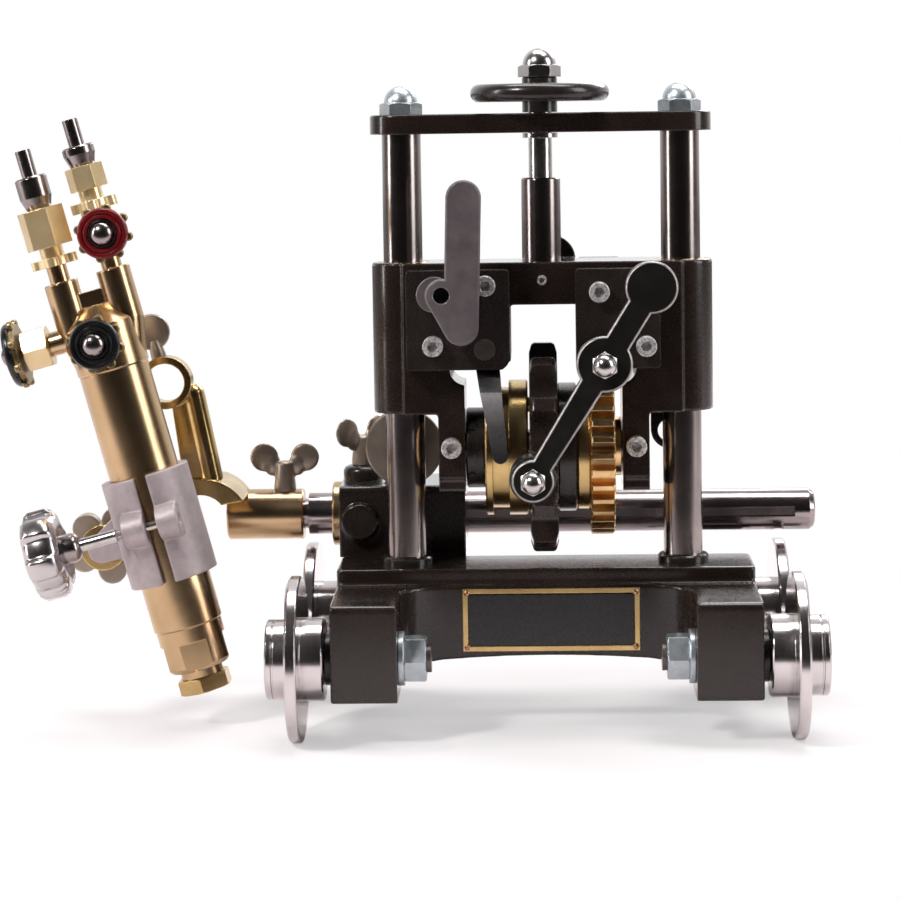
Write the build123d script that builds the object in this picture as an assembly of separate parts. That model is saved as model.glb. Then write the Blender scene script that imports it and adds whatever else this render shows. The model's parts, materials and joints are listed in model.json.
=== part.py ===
import math
import os
from build123d import *

# Hand pipe cutting machine, in millimetres.
# X runs along the pipe, Y towards the back, Z up. The origin is on the plane that the
# four wheels stand on, midway between the two guide posts.

# Clearances shared by all pieces
run_fit = 0.05
seat_gap = 0.02
side_gap = 0.3
overrun = 2.0

# Driving dimensions
post_spacing = 142.2
post_d = 20.0
wheel_d = 83.0
wheel_base = 108.0
track_inner = 213.4
plate_top = 80.7
plate_thick = 8.0
plate_length = 213.4
plate_depth = 44.0
sprocket_tip = 54.0
sprocket_floor_gap = 5.7
carriage_floor = 19.1
carriage_height = 77.2
carriage_depth = 40.0
top_gap = 65.3
rod_d = 22.0
rod_back = 53.0
rod_wheel_gap = 5.2
torch_d = 36.0
torch_tilt = 15.0

post_r = post_d / 2
post_x = post_spacing / 2
axle_y = wheel_base / 2
axle_z = wheel_d / 2
shaft_z = plate_top + sprocket_tip + sprocket_floor_gap
carriage_bottom = shaft_z + carriage_floor
carriage_top = carriage_bottom + carriage_height
front_y = -carriage_depth / 2
back_y = carriage_depth / 2
rod_r = rod_d / 2
rod_z = wheel_d + rod_wheel_gap + rod_r

# Base casting
boss_width = 33.0
boss_out = track_inner / 2
boss_in = boss_out - boss_width
lug_reach = 20.0
lug_rise = 29.6
lug_fall = 19.0
lug_corner = 2.5
apron_y = -24.0
apron_wall = 8.0
apron_bottom = 32.5
arch_rise = 3.9
apron_flat = 96.0
apron_flare = 15.0
arm_floor = 30.0
plate_corner = 3.0

# Axles, nuts and wheels
axle_r = 7.0
nut_af = 21.0
nut_thick = 10.9
nut_crown = 1.2
bolt_stub = 2.5
washer_r = 13.5
washer_thick = 3.0
spacer_r = 13.0
spacer_thick = 3.5
barrel_r = 20.7
barrel_length = 11.3
disc_thick = 6.0
disc_chamfer = 1.0
cap_r = 20.0
cap_length = 11.6
cap_groove = 1.0
cap_land = 3.2
cap_wall = 3.0
edge_soft = 0.8

# Name plate, left bare
label_margin = 3.0
label_shift = 2.65
label_drop = 1.6
label_height = 32.2
label_thick = 1.2
label_frame = 2.6
label_recess = 0.5

# Posts and top plate
collar_r = 13.0
collar_height = 4.0
stud_r = 6.0
stud_length = 18.0
top_thick = 10.0
top_depth = 32.0
top_overhang = 16.0
dome_af = 19.0
dome_hex = 6.0
dome_r = 8.6
top_z = carriage_top + top_gap

# Lift tube and feed screw
tube_r = 10.0
tube_height = 42.3
tube_seat = 18.0
tube_bore_depth = 56.0
screw_r = 6.0
screw_reach = 57.0
screw_collar_r = 9.0
screw_collar = 2.4
hub_r = 9.0
hub_height = 18.0
rim_r = 31.0
rim_section = 4.5
rim_lift = 10.0
spoke_r = 3.0
spoke_count = 3
cap_nut_height = 7.0

# Carriage casting
sleeve_r = 16.0
bush_wall = 2.5
bush_length = 18.0
bridge_gap = 20.6
window_left = 16.2
window_right = 18.0
worm_roof_gap = 2.6
lug_in = 40.0
lug_out = 53.6
lug_drop = 20.4
lug_bottom = shaft_z - lug_drop
lug_step = 7.0
lug_step_depth = 1.2
inner_web_in = 47.3
corner_cut = 8.0
left_floor_gap = 10.9
shaft_bush_r = 13.0
bearing_screw_rise = 2.4
bearing_screw_z = shaft_z + bearing_screw_rise
ear_x = 5.0
ear_drop = 0.7
ear_r = 12.6
ear_thick = 10.0
ear_hole_r = 3.5
tab_x = 65.0
tab_drop = 12.9
tab_r = 9.3
tab_bore = 5.8
tab_front = 12.5
tab_back = 19.5

# Front housings
housing_thick = 12.0
housing_drop = 53.4
housing_bottom = carriage_top - housing_drop
housing_step = 3.1
housing_top = carriage_top - housing_step
lever_plate_out = 68.6
lever_plate_in = 16.5
lever_round_x = 4.2
lever_round_z = 9.0
worm_plate_in = 16.7
worm_plate_out = 59.1
housing_corner = 2.0
fork_pocket_out = 39.8
fork_pocket_in = 20.2
fork_pocket_drop = 32.7
fork_pocket_top = carriage_top - fork_pocket_drop
fork_pocket_deep = 8.7

# Socket screws. The four in the housings are placed by X and by how far they are below
# the carriage's top.
screw_head_r = 5.2
screw_head = 6.0
hex_key = 5.0
hex_key_deep = 3.0
screw_shank_r = 3.0
screw_grip = 16.0
screw_hole_gap = 0.05
lever_screws = [(-28.6, 10.9), (-55.2, 41.0)]
worm_screws = [(28.6, 14.7), (51.9, 42.1)]
bearing_screw_x = 46.9
set_screw_drop = 9.2
set_screw_z = carriage_top - set_screw_drop
set_screw_r = 2.5
set_screw_length = 9.0
pin_r = 5.3
pin_length = 22.0
fork_pivot_x = -29.2
fork_pivot_drop = 43.2
fork_pivot_z = carriage_top - fork_pivot_drop

# Drive shaft, sprocket and worm wheel
shaft_r = 9.0
tooth_count = 12
chain_pitch = 25.4
roller_r = 8.0
sprocket_width = 14.3
tooth_flank = 24.0
sprocket_chamfer = 2.6
hub_plate_r = 33.0
hub_plate_end = 16.8
brass_hub_r = 32.0
brass_hub_end = 23.6
wheel_teeth = 34
gear_module = 2.5
gear_end = 35.7
gear_tip = 45.0
gear_root = 39.4
gear_tip_land = 2.6
gear_root_land = 4.8
gear_boss_r = 15.0
gear_boss_end = 39.5
collar_disc_r = 20.6
collar_disc_in = 29.9
collar_disc_out = 39.6
collar_screw_r = 2.2
collar_screw_shift = 1.9
collar_screw_head = 1.2
collar_screw_out = 12.5

# Clutch sleeve, fork and lever
sleeve_in = 8.1
sleeve_out = 29.8
flange_r = 34.7
groove_r = 31.0
groove_in = 17.7
groove_out = 26.0
sleeve_recess_r = 21.2
sleeve_recess = 6.0
dog_count = 3
dog_r = 4.0
dog_ring = 22.0
dog_length = 4.8
dog_gap = 0.4
fork_thick = 4.6
fork_front = 40.4
fork_top_width = 12.8
fork_tip_width = 7.4
fork_boss_r = 8.2
fork_boss = 7.6
fork_pad_r = 3.7
fork_knee_rise = 31.6
fork_knee_z = shaft_z + fork_knee_rise
lever_x = -50.2
lever_drop = 14.7
lever_z = carriage_top - lever_drop
lever_front = 48.0
lever_thick = 5.6
lever_half = 8.8
lever_head_x = -38.55
lever_head_rise = 48.4
lever_foot_x = -40.5
lever_foot_drop = 16.4
lever_eye_r = 8.2
lever_hole_r = 4.0
cam_hole_deep = 9.0
cam_r = 8.8
cam_shift = 3.9
lever_pin_r = 4.9
lever_pin_in = 24.0

# Worm, crank and grip
worm_x = 29.65
worm_pitch_r = 7.5
worm_tip = 10.0
worm_root = 4.9
worm_shaft_r = 5.5
worm_length = 28.0
thread_tip_half = 0.75
thread_root_half = 2.0
crank_front = 88.0
crank_thick = 6.0
crank_chamfer = 0.9
crank_mid_r = 13.7
crank_top_r = 12.8
crank_low_r = 10.4
crank_top_reach = 43.5
crank_low_reach = 66.5
crank_lean = 32.0
bar_mid_half = 6.4
bar_low_half = 5.1
crank_hub_r = 9.5
acorn_af = 11.6
acorn_hex = 5.0
acorn_turn = 30
acorn_dome_r = 5.6
grip_r = 11.5
grip_length = 15.5
grip_waist = 1.2
grip_pin_r = 4.0
rear_plate_thick = 8.0
rear_plate_half = 11.5
rear_plate_drop = 9.0

# Cross rod, its clamp block and locking screws
rod_left = -126.0
rod_right = 143.5
rod_nose = 3.0
keyway_width = 5.0
keyway_deep = 2.2
block_left = -108.0
block_right = -41.5
block_front = 22.5
block_back = 76.0
block_rise = 18.3
block_top = rod_z + block_rise
block_foot_drop = 18.7
block_foot = plate_top - block_foot_drop
block_neck_drop = 0.7
block_neck = plate_top - block_neck_drop
bush_flange_r = 17.0
bush_flange = 5.0
rod_bush_wall = 2.0
split_left = -84.0
split_right = -63.0
split_rise = 31.5
split_top = block_top + split_rise
split_front = 33.0
split_back = 38.5
split_fillet = 9.5
knob_x = -73.2
knob_rise = 20.7
knob_z = block_top + knob_rise
lock_nut_af = 11.0
lock_nut_thick = 4.5
knob_screw_r = 4.0
knob_disc_r = 20.3
knob_disc = 5.0
knob_hub_r = 12.0
knob_hub = 6.5
pivot_boss_x = -97.0
pivot_boss_r = 9.5
pivot_boss_front = 17.0
rod_wing_x = -97.0
rod_wing_turn = 45
rod_wing_collar_r = 10.5
rod_wing_collar = 7.5
rod_wing_shank_r = 4.0

# Torch socket and arm
socket_left = -169.5
socket_right = -128.8
socket_r = 13.4
spigot_r = 8.0
socket_end = 4.5
socket_wing_x = -139.0
socket_seat = 1.2
foot_front = 18.0
foot_back = 58.0
foot_left = -206.0
foot_knee = -190.0
foot_low_rise = 11.8
foot_low = rod_z + foot_low_rise
foot_top_rise = 23.8
foot_top_z = rod_z + foot_top_rise
arch_x = -180.0
arch_top_rise = 15.2
arch_z = rod_z + arch_top_rise
heel_x = -169.5
heel_rise = 9.8
heel_z = rod_z + heel_rise
tongue_x = -158.0
tongue_crown_x = -171.0
tongue_crown_rise = 22.4
tongue_crown_z = rod_z + tongue_crown_rise
tilt_x = -231.8
tilt_drop = 11.6
tilt_z = rod_z - tilt_drop
link_front = 14.4
link_back = 24.0
tilt_boss_r = 12.0
link_half = 9.0
column_foot_x = -174.5
column_head_x = -183.6
column_rise = 67.6
column_r = 5.8
column_y = 25.0
web_left_low = -189.5
web_left_high = -195.4
web_rise = 66.0
web_head = rod_z + web_rise
web_front = 21.0
web_back = 26.0
eye_x = -197.4
eye_rise = 74.9
eye_z = rod_z + eye_rise
eye_r = 13.8
eye_bore = 10.0
eye_front = 14.4
eye_back = 26.0

# Torch, in its own frame: the barrel's axis is upright, heights count from a point
# beside the top of the clamp.
torch_x = -209.3
torch_y = -15.0
torch_rise = 48.4
torch_z = rod_z + torch_rise
barrel_top = 38.4
barrel_foot = -97.7
head_r = 17.2
head_foot = -121.0
head_round = 2.5
flat_offset = 15.6
flat_top = -106.0
flat_count = 4
flat_turn = 8.0
neck_r = 11.0
nozzle_af = 25.0
nozzle_top = -125.5
nozzle_foot = -133.0
nozzle_bore = 7.0
gas_bore = 5.0
gas_bore_deep = 30.0
branch_x = 13.8
branch_r = 8.7
branch_top = 88.2
branch_foot = 62.0
branch_root_x = 9.5
branch_root = 41.0
bridge_top = 80.0
bridge_thick = 9.0
manifold_r = 18.6
manifold_top = 62.0
manifold_taper = 10.0
black_valve_h = 54.2
red_valve_x = 19.5
red_valve_h = 106.3
side_valve_h = 58.8
valve_neck_r = 6.2
valve_nut_af = 17.0
valve_nut_length = 9.0
valve_nut_front = 21.5
knob_r = 13.0
knob_thick = 7.0
lobe_r = 2.8
lobe_count = 7
valve_stem_r = 3.0
dome_nut_r = 5.9
side_knob_r = 17.0
side_knob_near = 42.6
side_knob_far = 49.8
side_nut_near = 28.0
side_nut_far = 41.0
side_nut_af = 20.0
inlet_neck_r = 5.2
inlet_nut_low = 107.0
inlet_nut_high = 127.0
inlet_nut_af = 21.0
inlet_nut_turn = 55
flange_h = 97.0
flange_high = 101.5
flange_lobe_r = 3.4
flange_lobe_ring = 8.6
flange_lobes = 4
body_r = 7.8
right_flange_h = 119.0
right_flange_high = 124.0
right_nut_low = 130.0
right_nut_high = 142.0
ferrule_r = 8.2
ferrule_mouth_r = 6.2
ferrule_high = 144.0
right_ferrule_high = 152.5
tail_r = 4.0
tail_length = 14.0

# Torch clamp and its knobs
clamp_wall = 4.7
clamp_top = -17.0
clamp_foot = -73.0
clamp_slit_left = -2.8
clamp_slit_right = 3.6
clamp_boss_r = 8.8
clamp_boss_left = -14.5
clamp_boss_right = 14.6
clamp_screw_h = -42.2
clamp_screw_y = -36.2
clamp_screw_r = 2.6
clamp_neck_r = 7.6
clamp_neck = 8.5
fluted_r = 23.2
fluted_left = -64.0
fluted_right = -46.0
flute_count = 12
flute_r = 5.0
flute_deep = 2.0
lug_back_gap = 0.5
lug_plate_thick = 6.0
lug_end_r = 7.0
star_lobes = 5
star_turn = 67
star_lobe_r = 7.5
star_lobe_ring = 13.5
star_hub_r = 10.5
star_thick = 9.0
tilt_pin_r = 5.0
eye_screw_hole = 3.2
eye_disc_r = 9.6
eye_disc = 3.0
eye_disc_lift = 13.2

# Wing screws
wing_hub_r = 6.0
wing_hub = 16.0
wing_r = 7.8
wing_reach = 10.9
wing_lift = 18.0
wing_thick = 3.0
wing_root_r = 2.4
wing_root_x = 4.2
wing_root_z = 5.0


def cyl_x(radius, x0, x1, y=0, z=0):
    turned = Rot(0, 90, 0) * Cylinder(radius, abs(x1 - x0))
    return Pos((x0 + x1) / 2, y, z) * turned


def cyl_y(radius, y0, y1, x=0, z=0):
    turned = Rot(90, 0, 0) * Cylinder(radius, abs(y1 - y0))
    return Pos(x, (y0 + y1) / 2, z) * turned


def cyl_z(radius, z0, z1, x=0, y=0):
    return Pos(x, y, (z0 + z1) / 2) * Cylinder(radius, abs(z1 - z0))


def block(x0, x1, y0, y1, z0, z1):
    size = Box(abs(x1 - x0), abs(y1 - y0), abs(z1 - z0))
    return Pos((x0 + x1) / 2, (y0 + y1) / 2, (z0 + z1) / 2) * size


def prism_y(sketch, y0, y1):
    """A sketch drawn in X and Z, stretched from y0 to y1."""
    return Pos(0, y1, 0) * extrude(Plane.XZ * sketch, amount=y1 - y0)


def prism_x(sketch, x0, x1):
    """A sketch drawn in Y and Z, stretched from x0 to x1."""
    return Pos(x0, 0, 0) * extrude(Plane.YZ * sketch, amount=x1 - x0)


def turned_x(points):
    """Points are (x, radius), turned about the X axis."""
    return revolve(Plane.XZ * make_face(Polyline(*points, close=True)), Axis.X)


def turned_z(points):
    """Points are (radius, z), turned about the Z axis."""
    return revolve(Plane.XZ * make_face(Polyline(*points, close=True)), Axis.Z)


def hexagon(across_flats):
    return RegularPolygon(across_flats / 2, 6, major_radius=False)


def bar(start, start_half, end, end_half):
    """A straight bar between two round ends."""
    ends = Pos(*start) * Circle(start_half) + Pos(*end) * Circle(end_half)
    return make_hull(ends.edges())


def outline(*points):
    return make_face(Polyline(*points, close=True))


def mirror_x(shape):
    return mirror(shape, Plane.YZ)


def mirror_y(shape):
    return mirror(shape, Plane.XZ)


def four_ways(shape):
    both = [shape, mirror_x(shape)]
    return Compound(both + [mirror_y(piece) for piece in both])


def lug_front():
    return axle_y + lug_reach


def base_arm():
    """One arm of the casting from the front axle lug to the back one, seen from the side."""
    half = plate_depth / 2
    shoulder = plate_top - plate_thick
    lug_back = axle_y - lug_reach
    profile = outline(
        (0, shoulder), (half, shoulder), (lug_front(), axle_z + lug_rise),
        (lug_front(), axle_z - lug_fall), (lug_back, axle_z - lug_fall), (lug_back, arm_floor),
        (0, arm_floor))
    profile = fillet(profile.vertices().group_by(Axis.X)[-1], lug_corner)
    profile += mirror(profile, Plane.YZ)
    return prism_x(profile, boss_in, boss_out)


def base_casting():
    half_length = plate_length / 2
    half_depth = plate_depth / 2
    shoulder = plate_top - plate_thick
    plate = block(-half_length, half_length, -half_depth, half_depth, shoulder, plate_top)
    plate = fillet(plate.edges().filter_by(Axis.Z), plate_corner)
    arm = base_arm()
    flare_run = boss_in - apron_flat / 2
    flare_r = (flare_run ** 2 + apron_flare ** 2) / (2 * apron_flare)
    front = apron_y
    edge = Line((0, front), (apron_flat / 2, front))
    sweep_angle = math.degrees(math.asin(flare_run / flare_r))
    flare = CenterArc((apron_flat / 2, front - flare_r), flare_r, 90, -sweep_angle)
    ends = Polyline(flare @ 1, (boss_in + overrun, (flare @ 1).Y), (boss_in + overrun, 0), (0, 0))
    quarter = make_face([edge, flare, ends.edges()[0], ends.edges()[1], ends.edges()[2],
                         Line((0, 0), (0, front))])
    skirt = quarter + mirror(quarter, Plane.YZ)
    skirt += mirror(skirt, Plane.XZ)
    skirt = Pos(0, 0, apron_bottom) * extrude(skirt, amount=shoulder - apron_bottom)
    inside = apron_y + apron_wall
    skirt -= block(-boss_in + apron_wall, boss_in - apron_wall, inside, -inside,
                   apron_bottom - overrun, shoulder)
    roof = outline((0, 0), (0, shoulder), (half_depth, shoulder),
                   (lug_front(), axle_z + lug_rise), (lug_front(), 0))
    roof += mirror(roof, Plane.YZ)
    skirt = skirt & prism_x(roof, -half_length, half_length)
    arch_half = boss_in
    arch_r = (arch_half ** 2 + arch_rise ** 2) / (2 * arch_rise)
    skirt -= cyl_y(arch_r, -axle_y, axle_y, 0, apron_bottom + arch_rise - arch_r)
    body = plate + skirt + arm + mirror_x(arm)
    for side in (1, -1):
        for front_back in (1, -1):
            bore = cyl_x(axle_r + seat_gap, boss_in - overrun, boss_out + overrun,
                         front_back * axle_y, axle_z)
            body -= bore if side > 0 else mirror_x(bore)
        body -= cyl_z(post_r + seat_gap, shoulder, plate_top + overrun, side * post_x)
        body -= cyl_z(stud_r + seat_gap, arm_floor - overrun, plate_top, side * post_x)
    return body


def name_plate():
    half = apron_flat / 2 - label_margin
    top = plate_top - plate_thick - label_drop
    foot = top - label_height
    face = apron_y - label_thick
    outer = block(-half, half, face, apron_y, foot, top)
    inner = block(-half + label_frame, half - label_frame, face - overrun, face + label_recess,
                  foot + label_frame, top - label_frame)
    return Pos(label_shift, 0, 0) * (outer - inner)


def axle_bolt():
    inner_end = boss_in - washer_thick - nut_thick - bolt_stub
    outer_end = wheel_outer() - cap_wall - side_gap
    return cyl_x(axle_r, inner_end, outer_end, -axle_y, axle_z)


def nut(across_flats, thick, crown, bore):
    """A hex nut lying along X from zero, with both ends crowned."""
    corner = across_flats / math.sqrt(3)
    body = prism_x(hexagon(across_flats), 0, thick)
    crown_shape = turned_x([(0, 0), (0, corner - crown), (crown / 2, corner),
                            (thick - crown / 2, corner), (thick, corner - crown), (thick, 0)])
    return (body & crown_shape) - cyl_x(bore, -overrun, thick + overrun)


def axle_nut():
    start = boss_in - washer_thick - nut_thick
    return Pos(start, -axle_y, axle_z) * nut(nut_af, nut_thick, nut_crown, axle_r + seat_gap)


def ring_x(outer, inner, x0, x1, y=0, z=0):
    return cyl_x(outer, x0, x1, y, z) - cyl_x(inner, x0 - overrun, x1 + overrun, y, z)


def axle_washer():
    return ring_x(washer_r, axle_r + seat_gap, boss_in - washer_thick, boss_in, -axle_y, axle_z)


def wheel_spacer():
    return ring_x(spacer_r, axle_r + seat_gap, boss_out, boss_out + spacer_thick, -axle_y, axle_z)


def wheel_inner():
    return boss_out + spacer_thick + side_gap


def wheel_outer():
    return wheel_inner() + barrel_length + disc_thick + cap_length


def wheel():
    """One wheel on the right of the machine, turned about the X axis."""
    start = wheel_inner()
    disc_at = start + barrel_length
    cap_at = disc_at + disc_thick
    end = wheel_outer()
    radius = wheel_d / 2
    bore = axle_r + run_fit
    land = end - cap_land
    points = [
        (start, bore), (start, barrel_r - edge_soft), (start + edge_soft, barrel_r),
        (disc_at, barrel_r), (disc_at, radius - edge_soft), (disc_at + edge_soft, radius),
        (cap_at - disc_chamfer, radius), (cap_at, radius - disc_chamfer), (cap_at, cap_r),
        (land - cap_groove, cap_r), (land - cap_groove, cap_r - cap_groove),
        (land, cap_r - cap_groove), (land, cap_r), (end - edge_soft, cap_r),
        (end, cap_r - edge_soft), (end, 0), (end - cap_wall, 0), (end - cap_wall, bore)]
    return turned_x(points)


def guide_post():
    foot = plate_top - plate_thick
    post = cyl_z(post_r, foot, top_z, post_x)
    post += cyl_z(stud_r, top_z, top_z + stud_length, post_x)
    return post + cyl_z(stud_r, foot - plate_thick, foot, post_x)


def post_collar():
    ring = cyl_z(collar_r, plate_top, plate_top + collar_height, post_x)
    ring = chamfer(ring.edges().group_by(Axis.Z)[-1], edge_soft)
    return ring - cyl_z(post_r + seat_gap, plate_top - overrun, carriage_bottom, post_x)


def top_plate():
    body = bar((-post_x, 0), top_overhang, (post_x, 0), top_overhang)
    body = body & Rectangle(post_spacing + 2 * top_overhang, top_depth)
    plate = Pos(0, 0, top_z) * extrude(body, amount=top_thick)
    plate = chamfer(plate.edges().group_by(Axis.Z)[-1], edge_soft)
    plate -= cyl_z(screw_r + run_fit, top_z - overrun, top_z + top_thick + overrun)
    hole = cyl_z(stud_r + seat_gap, top_z - overrun, top_z + top_thick + overrun, post_x)
    return plate - hole - mirror_x(hole)


def dome_nut(across_flats, hex_height, dome_radius, bore, bore_height):
    """A domed nut standing on z = 0."""
    body = extrude(hexagon(across_flats), amount=hex_height)
    corner = across_flats / math.sqrt(3)
    crown = turned_z([(0, 0), (corner, 0), (corner, hex_height - edge_soft),
                      (across_flats / 2, hex_height), (0, hex_height)])
    ball = Pos(0, 0, hex_height) * Sphere(dome_radius)
    ball = ball & cyl_z(dome_radius, hex_height, hex_height + dome_radius)
    return (body & crown) + ball - cyl_z(bore, -overrun, bore_height)


def post_nut():
    base = top_z + top_thick
    grip = stud_length - top_thick + seat_gap
    return Pos(post_x, 0, base) * dome_nut(dome_af, dome_hex, dome_r, stud_r + seat_gap, grip)


def lift_tube():
    tube_top = carriage_top + tube_height
    tube = cyl_z(tube_r, carriage_top - tube_seat, tube_top)
    tube = chamfer(tube.edges().group_by(Axis.Z)[-1], edge_soft)
    return tube - cyl_z(screw_r + run_fit, tube_top - tube_bore_depth, tube_top + overrun)


def feed_screw():
    head = top_z + top_thick + hub_height + side_gap
    screw = cyl_z(screw_r, top_z - screw_reach, head + cap_nut_height - edge_soft)
    collar_top = top_z - side_gap
    return screw + cyl_z(screw_collar_r, collar_top - screw_collar, collar_top)


def feed_handwheel():
    base = top_z + top_thick + side_gap
    hub = cyl_z(hub_r, base, base + hub_height)
    hub = chamfer(hub.edges().group_by(Axis.Z)[-1], edge_soft)
    rim_z = base + rim_lift
    rim = Pos(0, 0, rim_z) * Torus(rim_r, rim_section)
    wheel_body = hub + rim
    for index in range(spoke_count):
        spoke = cyl_x(spoke_r, hub_r - edge_soft, rim_r, 0, rim_z)
        wheel_body += Rot(0, 0, 30 + index * 360 / spoke_count) * spoke
    return wheel_body - cyl_z(screw_r + seat_gap, base - overrun, base + hub_height + overrun)


def handwheel_nut():
    base = top_z + top_thick + side_gap + hub_height
    return Pos(0, 0, base) * dome_nut(dome_af, dome_hex, dome_r, screw_r + seat_gap,
                                      cap_nut_height - edge_soft + seat_gap)


def carriage_casting():
    """The casting that slides on the posts: two sleeves, a bridge and two bearing lugs."""
    bridge_z = shaft_z + sprocket_tip + bridge_gap
    worm_roof = worm_z() + worm_tip + worm_roof_gap
    left_floor = shaft_z + flange_r + left_floor_gap
    side = block(lug_in, post_x, front_y, back_y, carriage_bottom, carriage_top)
    sleeve = cyl_z(sleeve_r, carriage_bottom, carriage_top, post_x)
    cheek = block(post_x - sleeve_r, post_x, front_y, back_y, carriage_bottom, carriage_top)
    lug = block(lug_in, lug_out, front_y, back_y, lug_bottom + lug_step, carriage_bottom)
    lug += block(lug_in, lug_out, front_y + lug_step_depth, back_y - lug_step_depth,
                 lug_bottom, lug_bottom + lug_step)
    half = side + sleeve + cheek + lug
    body = half + mirror_x(half)
    body += block(-lug_in, lug_in, front_y, back_y, bridge_z, carriage_top)
    body += block(window_right, lug_in, front_y, back_y, worm_roof, carriage_top)
    body += block(-lug_in, -window_left, front_y, back_y, left_floor, carriage_top)
    ear_z = carriage_top - ear_drop
    body += cyl_y(ear_r, back_y - overrun, back_y + ear_thick, ear_x, ear_z)
    body -= cyl_y(ear_hole_r, back_y + overrun, back_y + ear_thick + overrun, ear_x,
                  ear_z + ear_hole_r)
    tab_z = carriage_bottom - tab_drop
    tab = bar((tab_x, tab_z), tab_r, (tab_x, carriage_bottom + tab_r), tab_r)
    body += prism_y(tab, tab_front, tab_back)
    body -= cyl_y(tab_bore, tab_front - overrun, tab_back + overrun, tab_x, tab_z)
    for side in (1, -1):
        body -= cyl_y(corner_cut, front_y - overrun, back_y + overrun,
                      side * (inner_web_in - corner_cut), housing_bottom - edge_soft)
        body -= cyl_z(post_r + bush_wall + seat_gap, carriage_bottom - overrun,
                      carriage_bottom + bush_length, side * post_x)
        body -= cyl_z(post_r + bush_wall + seat_gap, carriage_top - bush_length,
                      carriage_top + overrun, side * post_x)
        body -= cyl_z(post_r + edge_soft, carriage_bottom, carriage_top, side * post_x)
        body -= screw_hole(side * bearing_screw_x, bearing_screw_z, front_y)
    body -= cyl_x(shaft_bush_r + seat_gap, -lug_out - overrun, lug_out + overrun, 0, shaft_z)
    body -= cyl_z(tube_r + seat_gap, carriage_top - tube_seat, carriage_top + overrun)
    for x, drop in lever_screws + worm_screws:
        body -= screw_hole(x, carriage_top - drop, front_y)
    body -= cyl_y(set_screw_r + seat_gap, front_y - overrun, -tube_r, 0, set_screw_z)
    body -= cyl_y(lever_pin_r + run_fit, front_y - overrun, -lever_pin_in + lever_pin_r * 4,
                  lever_x, lever_z)
    body -= cyl_y(pin_r + seat_gap, front_y - overrun, -housing_thick + front_y + pin_length,
                  fork_pivot_x, fork_pivot_z)
    return body


def screw_hole(x, z, face):
    radius = screw_shank_r + screw_hole_gap
    return cyl_y(radius, face - overrun, face + screw_grip - housing_thick + overrun, x, z)


def lever_housing():
    z0, z1 = housing_bottom, housing_top
    right = -lever_plate_in
    swell = 1 - math.sqrt(0.5)
    edge = Polyline((right, z0 + lever_round_z), (right, z1), (-lever_plate_out, z1),
                    (-lever_plate_out, z0), (right - lever_round_x, z0))
    corner = ThreePointArc((right - lever_round_x, z0),
                           (right - lever_round_x * swell, z0 + lever_round_z * swell),
                           (right, z0 + lever_round_z))
    shape = make_face([*edge.edges(), corner])
    shape = fillet(shape.vertices().group_by(Axis.Y)[-1], housing_corner)
    body = prism_y(shape, front_y - housing_thick, front_y)
    body -= block(-fork_pocket_out, -fork_pocket_in, front_y - fork_pocket_deep,
                  front_y + overrun, z0 - overrun, fork_pocket_top)
    body -= cyl_y(lever_pin_r + run_fit, front_y - housing_thick - overrun, front_y + overrun,
                  lever_x, lever_z)
    body -= cyl_y(pin_r + seat_gap, front_y - housing_thick - overrun, front_y + overrun,
                  fork_pivot_x, fork_pivot_z)
    for x, drop in lever_screws:
        body -= housing_hole(x, carriage_top - drop)
    return body


def housing_hole(x, z):
    radius = screw_shank_r + screw_hole_gap
    return cyl_y(radius, front_y - housing_thick - overrun, front_y + overrun, x, z)


def worm_housing():
    z0, z1 = housing_bottom, housing_top
    shape = outline((worm_plate_in, z0), (worm_plate_out, z0), (worm_plate_out, z1),
                    (worm_plate_in, z1))
    shape = fillet(shape.vertices(), housing_corner)
    body = prism_y(shape, front_y - housing_thick, front_y)
    body -= cyl_y(worm_shaft_r + run_fit, front_y - housing_thick - overrun, front_y + overrun,
                  worm_x, worm_z())
    for x, drop in worm_screws:
        body -= housing_hole(x, carriage_top - drop)
    return body


def worm_z():
    return shaft_z + gear_pitch_r() + worm_pitch_r


def gear_pitch_r():
    return gear_module * wheel_teeth / 2


def rear_bearing_plate():
    z = worm_z()
    plate = block(worm_x - rear_plate_half, worm_x + rear_plate_half, back_y,
                  back_y + rear_plate_thick, z - rear_plate_drop, carriage_top)
    plate = fillet(plate.edges().filter_by(Axis.Y), housing_corner)
    return plate - cyl_y(worm_shaft_r + run_fit, back_y - overrun,
                         back_y + rear_plate_thick + overrun, worm_x, z)


def socket_screw(x, z, face, grip):
    """A cap screw whose head stands on the plane y = face and points to the front."""
    head = cyl_y(screw_head_r, face - screw_head, face, x, z)
    head = chamfer(head.edges().group_by(Axis.Y)[0], edge_soft / 2)
    key = prism_y(Pos(x, z) * hexagon(hex_key), face - screw_head - overrun,
                  face - screw_head + hex_key_deep)
    return head - key + cyl_y(screw_shank_r, face, face + grip, x, z)


def carriage_screws():
    face = front_y - housing_thick
    screws = [socket_screw(x, carriage_top - drop, face, screw_grip)
              for x, drop in lever_screws + worm_screws]
    short = screw_grip - housing_thick
    for side in (1, -1):
        screws.append(socket_screw(side * bearing_screw_x, bearing_screw_z, front_y, short))
    return Compound(screws + [tube_set_screw()])


def tube_set_screw():
    screw = cyl_y(set_screw_r, front_y - edge_soft, front_y + set_screw_length, 0, set_screw_z)
    key = prism_y(Pos(0, set_screw_z) * hexagon(set_screw_r), front_y - overrun,
                  front_y + set_screw_r)
    return screw - key


def fork_pin():
    start = front_y - housing_thick
    return cyl_y(pin_r, start, start + pin_length, fork_pivot_x, fork_pivot_z)


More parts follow.
